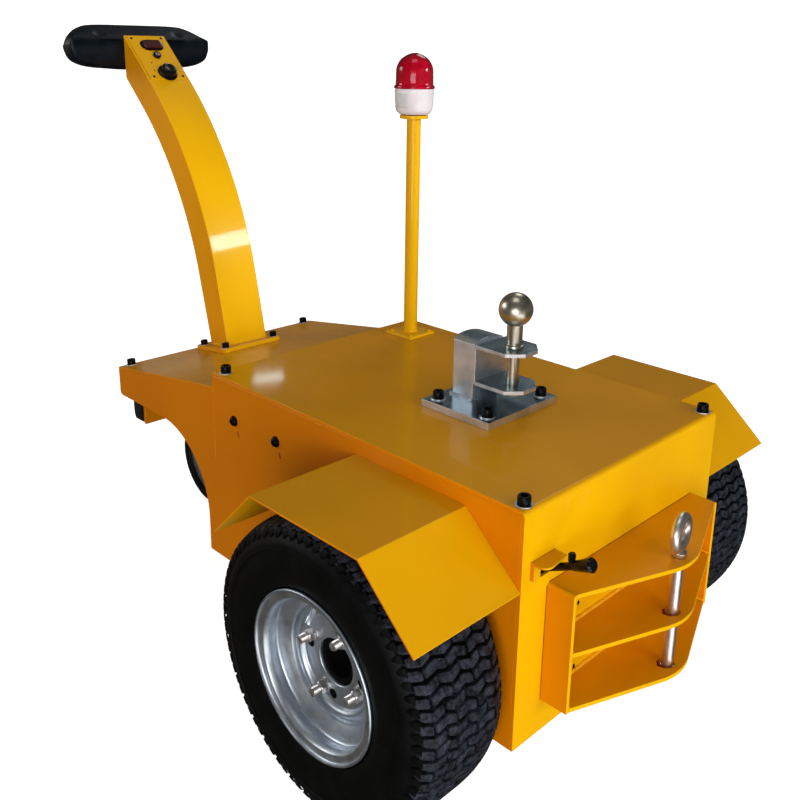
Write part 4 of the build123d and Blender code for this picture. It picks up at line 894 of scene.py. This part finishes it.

# painted shade: brown lines on the front plate along the jaw's sides and top and under the lever hood,
# for the shadow gaps there
shadow_gap_lines = []
top_z = corners("jaw_shelf_top")[1][2]
corner = 0.004            # the lines stop short of the jaw's rounded corners
for out in (-1, 1):
    y = out * JAW_HALF
    shadow_gap_lines.append(tube([(FRONT, y, side_low[2]), (FRONT, y, 0.5 * (side_low[2] + top_z)),
                          (FRONT, y, top_z - corner)], 0.0009, 6, up=(0, 1, 0.1)))
shadow_gap_lines.append(tube([(FRONT, -JAW_HALF + corner, top_z), (FRONT, 0, top_z),
                      (FRONT, JAW_HALF - corner, top_z)], 0.0010, 6, up=(0, 0.1, 1)))
hood_low, hood_high = corners("lever_hood")
hood_line = [(FRONT, y, hood_high[2])
             for y in (hood_low[1], 0.5 * (hood_low[1] + hood_high[1]), hood_high[1])]
shadow_gap_lines.append(tube(hood_line, 0.0006, 6, up=(0, 0.1, 1)))
piece("front_joint_shadow_lines", weld(*shadow_gap_lines), SEAM_SHADE)

# painted shade: two dark ovals on the front plate inside the jaw, where holes lie in shadow
jaw_hole_shades = []
for y, z, tall in ((-0.1045, 0.2715, 7.0), (-0.1042, 0.1715, 15.0)):
    jaw_hole_shades.append(stack(rounded(5.0, tall, 2.0), [(-0.2, 0), (0.35, 0), (0.5, 1.0), (0.1, 1.6)],
                            (FRONT, y, z), (0, 1, 0), UP))
piece("jaw_hole_shadows", weld(*jaw_hole_shades), PAINTED_HOLE_SHADE)

# painted shade: a dark red ring round the pin's hole in each lower shelf, wider on one side, for the
# gap where the hole shows beside the pin
PIN_GAP_SHADE_INNER = 10.4
pin_gap_shades = []
for height in shelf_tops:
    turn = full_turn(48)
    lean = np.clip(np.cos(turn - math.radians(248)), 0, 1) ** 3
    edge = 10.7 + lean * 5.0 + lean * 1.0 * np.sin(9 * turn) + 0.15 * np.sin(23 * turn)
    rings = [np.stack([np.cos(turn) * r, np.sin(turn) * r, 0 * turn + up], -1)
             for r, up in ((PIN_GAP_SHADE_INNER, 0.02), (PIN_GAP_SHADE_INNER, 0.16), ((edge + PIN_GAP_SHADE_INNER) / 2, 0.18),
                           (edge, 0.05))]
    points = np.concatenate(rings) * MM + np.array([PIN_X, 0, height])
    pin_gap_shades.append((points, quads(len(rings), len(turn))))
piece("pin_hole_gap_shades", weld(*pin_gap_shades), THREAD_LOCK_AND_GAP_SHADE)

up_low, up_high = corners("ball_upright")
clevis_low, clevis_high = corners("ball_clevis")
z = ball_high[2] + 0.001
ring = [(up_high[0], up_low[1], z), (up_low[0], up_low[1], z), (up_low[0], up_high[1], z),
        (up_high[0], up_high[1], z)]
hitch_beads = [bead(ring, 3.2, 0.45, 4.0)]
for out, edge_y in ((-1, up_low[1]), (1, up_high[1])):
    hitch_beads.append(bead([(up_high[0], edge_y, clevis_low[2] + 0.006),
                             (up_high[0], edge_y, clevis_high[2] - 0.004)], 2.0, 0.4, 4.0))
piece("hitch_weld_beads", weld(*hitch_beads), ZINC, CHASSIS)

POST_HALF = 0.046
post_front = TAIL_END + 0.093
post_rear = TAIL_END + 0.035
foot_ring = []
for x, y in ((post_front, -POST_HALF), (post_rear, -POST_HALF), (post_rear, POST_HALF),
             (post_front, POST_HALF), (post_front, -POST_HALF)):
    foot_ring.append(np.array([x, y, tail_height(x)]) + TAIL_NORMAL * (FOOT_THICK + 0.0008))
piece("tiller_foot_bead", bead(foot_ring, 2.2, 0.25, 3.6), WELD)

POLE_R = 0.0128
pole_x, pole_y = ((pole_low + pole_high) / 2)[:2]
foot_screws = [(pole_x + x, pole_y + y, DECK + 0.005) for x in (-0.024, 0.024)
               for y in (-0.024, 0.024)]
piece("pole_foot_screws", copies(button_screw(5.0), foot_screws), ENAMEL)
turn = np.linspace(0, 2 * np.pi, 40)
ring = np.stack([pole_x + POLE_R * np.cos(turn), pole_y + POLE_R * np.sin(turn),
                 np.full(40, DECK + 0.006)], -1)
piece("pole_foot_bead", bead(ring, 1.8, 0.3, 3.0), WELD)

# ---------------------------------------------------------------- tow ball and pin
tow_low, tow_high = corners("tow_ball")
BALL_R = 25.0
ball_x = (tow_low[0] + tow_high[0]) / 2
arc = np.linspace(math.radians(86), math.radians(-62), 40)
ball_curve = [(BALL_R * math.sin(math.radians(86)), 0.0)]
ball_curve += [(BALL_R * np.sin(a), BALL_R * np.cos(a)) for a in arc]
base = (tow_high[2] / MM) - BALL_R
clevis_top = clevis_high[2] / MM - base
clevis_foot = clevis_low[2] / MM - base
nut_foot = tow_low[2] / MM - base
ball_curve += [(-24.0, 11.6), (-26.0, 11.5), (clevis_top + 4.6, 11.5), (clevis_top + 4.0, 13.6),
               (clevis_top + 0.6, 14.0), (clevis_top, 13.6), (clevis_top, 9.0),
               (clevis_foot, 9.0), (clevis_foot, 0.0)]
ball_middle = (ball_x, 0, base * MM)
for_node("tow_ball_turned", lathe(ball_curve, ball_middle, steps=96), YELLOW_ZINC, "tow_ball",
         angle=28)
nut_rows = [(nut_foot, 0.0), (nut_foot, 12.6), (nut_foot + 1.2, 13.8), (clevis_foot - 0.4, 13.8),
            (clevis_foot, 13.0), (clevis_foot, 0.0)]
nut = lathe(nut_rows, ball_middle, steps=48, radius_of=hex_rows((2, 3)))
for_node("tow_ball_nut", nut, YELLOW_ZINC, "tow_ball", angle=25)

WIRE = 7.0                # radius of the ring's bar
RING_R = 27.5             # outer radius of the ring
RING_TURN = math.radians(9)
ring_r = RING_R - WIRE
ring_z = pin_high[2] - RING_R * MM
turn = full_turn(72)
flat = np.array([-math.sin(RING_TURN), math.cos(RING_TURN), 0.0])
path = (np.array([PIN_X, 0, ring_z]) + ring_r * MM * np.cos(turn)[:, None] * flat
        + ring_r * MM * np.sin(turn)[:, None] * np.array([0, 0, 1.0]))
wire = WIRE * (1 + 0.10 * np.clip(-np.sin(turn), 0, 1))
eye = tube(path, wire * MM, 20, closed=True, up=(math.cos(RING_TURN), math.sin(RING_TURN), 0.0))
collar_z = top_z / MM + 0.3
shank = lathe([(pin_low[2] / MM, 0.0), (pin_low[2] / MM, 6.0), (pin_low[2] / MM + 2.0, 7.9),
               (collar_z, 7.9), (collar_z, 10.2), (collar_z + 1.0, 10.5), (collar_z + 6.6, 10.4),
               (collar_z + 9.0, 8.6), (collar_z + 11.5, 5.0), (collar_z + 12.0, 0.0)],
              (PIN_X, 0, 0), steps=48)
for_node("ring_pin", weld(shank, eye), PIN_STEEL, "hitch_pin", angle=35)

# ---------------------------------------------------------------- beacon
base_low, base_high = corners("beacon_base")
RAISED = 0.0018           # housing, label and lens stand this much above their solids
lens_low, lens_high = corners("beacon_lens")
beacon_x, beacon_y = ((lens_low + lens_high) / 2)[:2]
h = (base_high[2] - base_low[2]) / MM
r = half_size(base_low, base_high, 0)
housing = [(0, 0.0), (0, r - 9.0), (1.2, r - 7.4), (3.4, r - 4.8), (6.0, r - 3.1), (9.5, r - 1.9),
           (h - 9.0, r - 0.5), (h - 6.5, r), (h - 3.0, r), (h - 2.2, r - 0.7), (h - 0.2, r - 0.9),
           (h, r - 1.4), (h, 0.0)]
housing_foot = (beacon_x, beacon_y, base_low[2] + RAISED)
for_node("beacon_housing", lathe(housing, housing_foot, steps=96), WHITE, "beacon_base")

label_turn = np.linspace(math.radians(-128), math.radians(-62), 28)
label_high = np.linspace(11.5, h - 5.0, 12)
label_r = r - 1.9 + 1.4 * (label_high - 9.5) / (h - 18.5) + 0.15
label_r = np.minimum(label_r, r + 0.1)
shell = np.stack([beacon_x + label_r[:, None] * np.cos(label_turn) * MM,
                  beacon_y + label_r[:, None] * np.sin(label_turn) * MM,
                  base_low[2] + RAISED + label_high[:, None] * MM + 0 * label_turn], -1)
label = for_node("beacon_bare_label", skin(shell, wrap_cols=False), LABEL, "beacon_base", False)
wall = label.modifiers.new("film", "SOLIDIFY")
wall.thickness = 0.0002
wall.offset = 0

R = 33.0                  # outer radius of the lens above its flange
H = (lens_high[2] - lens_low[2]) / MM
flange = half_size(lens_low, lens_high, 0)
dome = [(33.0, R - 0.6), (38.0, R - 2.0), (44.0, R - 4.8), (49.0, R - 8.6), (53.0, R - 13.2),
        (56.4, R - 19.0), (58.8, R - 25.5)]
outer = cut_corners([(0.0, R - 2.0), (0.0, flange - 0.6), (0.8, flange), (4.4, flange - 0.2),
                     (5.2, R + 0.8), (7.0, R), (20.0, R - 0.2)] + dome, 1)
outer = np.concatenate([outer, [(H - 0.3, 4.0), (H, 0.0)]])
inner = np.array([(H - 2.6, 0.0), (H - 2.9, 4.0), (56.0, R - 26.0), (50.0, R - 14.0),
                  (40.0, R - 5.4), (33.0, R - 3.0), (20.0, R - 2.7), (3.0, R - 2.4),
                  (0.0, R - 2.4)])
lens_foot = (beacon_x, beacon_y, lens_low[2] + RAISED)
# ribs on the inside of the lens, from its foot to the shoulder
flutes = ribbed_rows(range(len(outer) + 4, len(outer) + len(inner)), 36, 0.018)
lens = lathe(np.concatenate([outer, inner]), lens_foot, steps=144, closed=True, radius_of=flutes)
for_node("beacon_lens_ribbed", lens, RED, "beacon_lens", angle=40)
lamp_rows = [(0.5, 0.0), (0.5, 24.0), (2.0, 26.0), (3.0, 9.0), (9.0, 8.0), (12.0, 6.0),
             (24.0, 8.5), (31.0, 8.5), (37.0, 5.0), (38.5, 0.0)]
for_node("beacon_lamp", lathe(cut_corners(lamp_rows, 1), lens_foot, steps=48), LAMP,
         "beacon_lens", False)


# ---------------------------------------------------------------- control panel
def read(items, attribute, width):
    """One attribute of every vertex or polygon, as (n, width)."""
    flat = np.empty(len(items) * width)
    items.foreach_get(attribute, flat)
    return flat.reshape(-1, width)


def vertices(node):
    """Points of a CAD node, as (n, 3)."""
    return read(frame["nodes"][node].data.vertices, "co", 3)


panel_faces = frame["nodes"]["control_panel"].data.polygons
areas = read(panel_faces, "area", 1)
normals = read(panel_faces, "normal", 3)
areas[normals[:, 0] < 0.1] = 0      # the panel's face is its largest that looks forward
PANEL_OUT = normals[np.argmax(areas)]
PANEL_OUT = PANEL_OUT / np.linalg.norm(PANEL_OUT)
PANEL_DOWN = np.array([PANEL_OUT[2], 0.0, -PANEL_OUT[0]])
ACROSS = np.array([0.0, 1.0, 0.0])
panel_points = vertices("control_panel")
PANEL_FACE = (panel_points @ PANEL_OUT).max()
PANEL_TOP = (panel_points @ PANEL_DOWN).min() - 0.003


def on_panel(down, across, out=0.0):
    """Point on the panel: mm down from the post's top edge, mm across, mm out of the face."""
    return (PANEL_DOWN * (PANEL_TOP + down * MM) + ACROSS * across * MM
            + PANEL_OUT * (PANEL_FACE + out * MM))


def middle_of(node, down_mm, across_mm):
    """Middle of a control on the panel's face: its solid's, moved by a few millimetres."""
    points = vertices(node)
    down = points @ PANEL_DOWN
    return (PANEL_DOWN * ((down.min() + down.max()) / 2 + down_mm * MM) + PANEL_OUT * PANEL_FACE
            + ACROSS * ((points[:, 1].min() + points[:, 1].max()) / 2 + across_mm * MM))


place = middle_of("rocker_switch", 3.0, 6.0)
bezel = rounded(50.0, 30.0, 9.0)
for_node("rocker_bezel", stack(bezel, [(0.0, 0), (1.6, 0), (2.6, 0.8), (3.0, 2.2), (1.6, 3.4)],
                               place, ACROSS, -PANEL_DOWN), BLACK_PLASTIC, "rocker_switch")
for_node("rocker_key", stack(rounded(39.0, 21.0, 3.0),
                             [(0.6, 0), (4.0, 0), (5.2, 0.4), (5.7, 1.6), (5.2, 5.0)],
                             place, ACROSS, -PANEL_DOWN, shear=0.11), RED_SWITCH, "rocker_switch")

place = middle_of("key_switch", 6.5, 4.5)
for_node("key_switch_ring", lathe([(0, 0.0), (0, 8.0), (4.6, 8.0), (5.8, 7.2), (6.0, 6.2), (5.0, 5.0),
                                   (5.0, 0.0)], place, PANEL_OUT, 48), BLACK_PLASTIC, "key_switch")
for_node("key_switch_barrel", lathe([(4.6, 0.0), (4.6, 4.6), (5.5, 4.4), (5.6, 0.0)], place,
                                    PANEL_OUT, 32), YELLOW_ZINC, "key_switch", False)
# painted shade: a dark slab for the shadow in the key's slot
for_node("key_slot_shadow", stack(rounded(1.6, 6.2, 0.5), [(5.3, 0), (5.75, 0), (5.85, 0.2)], place,
                           ACROSS, -PANEL_DOWN), PAINTED_HOLE_SHADE, "key_switch", False)

place = middle_of("stop_knob", 5.5, 7.5)
knob = [(0, 0.0), (0, 19.6), (1.6, 20.0), (3.6, 19.4), (5.0, 17.4), (5.2, 15.6), (6.0, 15.0),
        (12.5, 14.8), (14.6, 14.0), (15.8, 11.6), (16.0, 9.0), (15.2, 7.0), (15.0, 0.0)]
knob = lathe(knob, place, PANEL_OUT, 96, radius_of=ribbed_rows((6, 7, 8), 14, 0.03))
for_node("turn_knob", knob, BLACK_PLASTIC, "stop_knob")
for_node("knob_mark", stack(rounded(9.0, 2.4, 0.8), [(15.1, 0), (15.7, 0.1), (15.9, 0.5)],
                            place - PANEL_DOWN * 0.0105, ACROSS, -PANEL_DOWN), WHITE_MARK,
         "stop_knob", False)

small = [on_panel(118, -32), on_panel(118, 33), on_panel(9.5, 34), on_panel(11, -34)]
piece("panel_screws", copies(button_screw(2.8), small, PANEL_OUT), BLACK_OXIDE, CHASSIS)
tiny = [on_panel(80, -20), on_panel(101, -23.5)]
piece("panel_pips", copies(lathe([(0, 0), (0, 1.5), (0.7, 1.3), (0.8, 0)], steps=16),
                           tiny, PANEL_OUT), BLACK_OXIDE, CHASSIS)


# ---------------------------------------------------------------- handle
# half of the front view: (mm from the middle, mm up), the top's height and its slope to the rear
HANDLE_VIEW = ((0, 0), (50, 0), (72, 2), (118, 5), (146, 14), (156, 28), (158, 42), (158, 55),
               (146, 73), (120, 86), (92, 90.5), (0, 90.5))
DRAWN_HIGH = 90.5
HANDLE_SLOPE = math.tan(math.radians(34))
END_LENGTH = 14.0         # the ends close in over this length
END_DRAW = 9.0            # and by this much, front and back
CORNER_EASE = 10.0
SECTION_POINTS = 80


def handle():
    """Sections along Y: a block whose top slopes up to the rear, its corners eased by 10 mm.

    Each section's foot and top follow the front view, and its depth closes in at the ends."""
    low, high = corners("handle")
    low, high = low / MM, high / MM
    depth = high[0] - low[0]
    view = cut_corners(HANDLE_VIEW, 2)
    turn_at = int(np.argmax(view[:, 0]))
    under, over = view[:turn_at + 1], view[turn_at:][::-1]
    reach = view[turn_at, 0] - 0.02
    y = reach * np.sin(np.linspace(-np.pi / 2, np.pi / 2, 161))
    foot = np.interp(np.abs(y), under[:, 0], under[:, 1])
    top = np.interp(np.abs(y), over[:, 0], over[:, 1])
    front_top = DRAWN_HIGH - depth * HANDLE_SLOPE
    knee = np.minimum(top, front_top)
    back = depth - (top - knee) / HANDLE_SLOPE
    close = np.clip((np.abs(y) - reach + END_LENGTH) / END_LENGTH, 0, 1)
    draw = END_DRAW * (1 - np.sqrt(np.clip(1 - close ** 2, 0, 1)))
    corner = np.stack([
        np.stack([draw, foot], -1), np.stack([depth - draw, foot], -1),
        np.stack([depth - draw, knee], -1), np.stack([np.clip(back, draw, depth - draw), top], -1),
        np.stack([draw, top], -1)])
    ahead = np.roll(corner, -1, 0) - corner
    length = np.linalg.norm(ahead, axis=-1, keepdims=True)
    unit = ahead / np.maximum(length, 1e-6)
    ease = np.minimum(CORNER_EASE, 0.45 * length)
    points = np.stack([corner + unit * ease, corner + ahead - unit * ease], axis=1)
    points = cut_corners(points.reshape(10, -1), 3, closed=True).reshape(SECTION_POINTS, len(y), 2)
    u, v = points[..., 0], points[..., 1]
    # a shallow dent in the top of each half
    dent = 4.0 * np.exp(-(((np.abs(y) - 88) / 11) ** 2 + ((u - 26) / 5) ** 2) ** 2)
    v = v - dent * (v > 45)
    v = v * (high[2] - low[2]) / DRAWN_HIGH
    grid = np.stack([low[0] + u, y + 0 * u, low[2] + v], -1).transpose(1, 0, 2) * MM
    ends = [np.repeat(grid[k].mean(0)[None], SECTION_POINTS, 0)[None] for k in (0, -1)]
    return skin(np.concatenate([ends[0], grid, ends[1]]))


for_node("handle_grip", handle(), SLATE, "handle", angle=50)
grip_low, grip_high = corners("handle")
# height of the fold between the grip's slope and its front, by the drawing's 90.5 mm
fold = grip_low[2] + 0.0608 * (grip_high[2] - grip_low[2]) / 0.0905
# painted shade: a dark strip in each half of the grip's fold, for the shadow in its slot
slots = []
for out in (-1, 1):
    line = np.array([(grip_high[0] - 0.0022, out * y * MM, fold - 0.0005) for y in
                     np.linspace(50, 96, 14)])
    slots.append(tube(line, np.concatenate([[0.2], np.full(12, 1.3), [0.2]]) * MM, 8,
                      up=(0.3, 0.1, 1)))
for_node("handle_slot_shadows", weld(*slots), PAINTED_HOLE_SHADE, "handle", False)

# ---------------------------------------------------------------- castor fittings
mount_low, mount_high = corners("castor_plate")
plate_points = vertices("castor_plate")
under_plate = plate_points[np.abs(plate_points[:, 1]) > mount_high[1] - 0.002][:, 2].min()
BOLT_INSET = 0.013
bolts = [(x, y, under_plate) for x in (mount_low[0] + BOLT_INSET, mount_high[0] - BOLT_INSET)
         for y in (mount_low[1] + BOLT_INSET, mount_high[1] - BOLT_INSET)]
nut_rows = [(0, 0.0), (0, 6.0), (0.4, 6.5), (5.0, 6.5), (5.6, 6.0), (5.6, 4.0), (7.6, 4.0), (8.0, 0.0)]
nut = lathe(nut_rows, steps=36, radius_of=hex_rows((2, 3)))
for_node("castor_plate_nuts", copies(nut, bolts, (0, 0, -1)), ZINC, "castor_plate", False)

# ---------------------------------------------------------------- camera, floor and light
camera_data = bpy.data.cameras.new("camera")
camera = bpy.data.objects.new("camera", camera_data)
bpy.context.scene.collection.objects.link(camera)
camera.location = (FRONT + 0.58585, -1.01131, 0.96626)
AZIMUTH, ELEVATION, ROLL = math.radians(44.868), math.radians(15.924), math.radians(0.984)
forward = np.array([-math.sin(AZIMUTH) * math.cos(ELEVATION),
                    math.cos(AZIMUTH) * math.cos(ELEVATION), -math.sin(ELEVATION)])
level = np.array([math.cos(AZIMUTH), math.sin(AZIMUTH), 0.0])
upward = np.cross(level, forward)
right = level * math.cos(ROLL) + upward * math.sin(ROLL)
top = np.cross(right, forward)
camera.matrix_world = Matrix([
    [right[k], top[k], -forward[k], camera.location[k]] for k in range(3)] + [[0, 0, 0, 1]])
camera_data.sensor_width = 36.0
camera_data.lens = 41.73
camera_data.shift_x = -0.0133
camera_data.shift_y = -0.114
camera_data.clip_end = 100
bpy.context.scene.camera = camera


def floor():
    """Pale floor that curves up all round into a wall: the bend's height is a quarter circle."""
    t = np.linspace(0, 1, 24)
    out = np.concatenate([[0.0, 3.0], 5.4 + 0.8 * np.sin(t * np.pi / 2), [6.2]])
    rise = np.concatenate([[0.0, 0.0], 0.8 * (1 - np.cos(t * np.pi / 2)), [6.5]])
    turn = full_turn(96)
    points = np.stack([out[:, None] * np.cos(turn), out[:, None] * np.sin(turn),
                       rise[:, None] + 0 * turn], -1).reshape(-1, 3)
    mesh = bpy.data.meshes.new("floor")
    mesh.from_pydata(points.tolist(), [], quads(len(out), len(turn)).tolist())
    mesh.polygons.foreach_set("use_smooth", np.ones(len(mesh.polygons), bool))
    material, tree, shader = new_material("matt white paper", Roughness=0.95,
                                          Specular_IOR_Level=0.1)
    set_sockets(tree, shader, Base_Color=ramp(tree, object_noise(tree, 900.0), [
        (0.3, "#F0F0F0"), (0.7, "#F6F6F6")]))
    place = add(tree, "ShaderNodeTexCoord").outputs["Object"]
    reach = add(tree, "ShaderNodeVectorMath", {0: place}, operation="LENGTH").outputs["Value"]
    share = maths(tree, "DIVIDE", reach, 10.0)
    glow = ramp(tree, share, [(0.12, 0.78), (0.32, 1.0)], smooth=True)
    set_sockets(tree, shader, Emission_Color=glow, Emission_Strength=1.0)
    mesh.materials.append(material)
    made = bpy.data.objects.new("floor", mesh)
    bpy.context.scene.collection.objects.link(made)
    made.visible_diffuse = False
    made.visible_glossy = False
    made.visible_shadow = False


floor()


def lamp(name, place, size, power, colour=(1, 1, 1), aim=(0, 0, 0.4), mirrored=True):
    """Rectangular soft light at place, facing aim; gloss shows it only if mirrored."""
    data = bpy.data.lights.new(name, "AREA")
    data.shape = "RECTANGLE"
    data.size, data.size_y = size
    data.energy = power
    data.color = colour
    made = bpy.data.objects.new(name, data)
    bpy.context.scene.collection.objects.link(made)
    made.location = place
    made.visible_camera = False
    made.visible_glossy = mirrored
    made.rotation_euler = (Vector(aim) - Vector(place)).to_track_quat("-Z", "Y").to_euler()
    return made


lamp("front window", (4.2, 0.0, 1.6), (3.0, 1.6), 68, (1.0, 0.99, 0.96), mirrored=False)
lamp("front window sheen", (4.2, 0.0, 1.6), (3.0, 1.6), 13)
pane = lamp("bright pane", (0.834, 0.806, 1.084), (0.34, 0.16), 0.20, aim=(-0.335, 0.0, 0.63))
pane.data.spread = math.radians(30)
lamp("side door", (2.7, -3.6, 1.5), (2.4, 1.6), 44, (1.0, 0.98, 0.96), mirrored=False)
lamp("side door sheen", (2.7, -3.6, 0.5), (2.4, 1.4), 72)
lamp("far side door", (-1.4, 3.4, 4.2), (1.6, 1.6), 28)
lamp("high front window", (3.0, 2.6, 2.2), (1.6, 1.0), 22, mirrored=False)
lamp("ceiling light", (0.6, -0.6, 4.6), (1.6, 1.6), 20, aim=(0, 0, 0.3))
lamp("rear window", (-3.6, -2.8, 2.0), (2.0, 1.4), 50)
lamp("floor bounce", (2.6, -0.9, -0.9), (2.6, 1.2), 24, aim=(0, 0, 0.3))
lamp("small far window", (-3.76, 2.57, 2.19), (0.20, 0.065), 0.62, (0.80, 1.0, 1.0), aim=(0, 0, 0.45))
lamp("small high window", (-3.81, 1.71, 0.63), (0.34, 0.10), 0.07, (1.0, 0.96, 0.84))

world = bpy.data.worlds.new("dim hall")
bpy.context.scene.world = world
world.use_nodes = True
tree = world.node_tree
direction = add(tree, "ShaderNodeTexCoord").outputs["Generated"]
height = add(tree, "ShaderNodeSeparateXYZ", {"Vector": direction}).outputs["Z"]
height = maths(tree, "MULTIPLY_ADD", height, 0.5, 0.5)
sky = ramp(tree, height, [(0.0, "#423A32"), (0.40, "#5C564E"),
                          (0.52, "#787672"), (0.62, "#4E4E4C"),
                          (0.75, "#40403E"), (1.0, "#707070")])
tree.links.new(sky, tree.nodes["Background"].inputs["Color"])
tree.nodes["Background"].inputs["Strength"].default_value = 1.0
bpy.context.scene.view_settings.view_transform = "Standard"
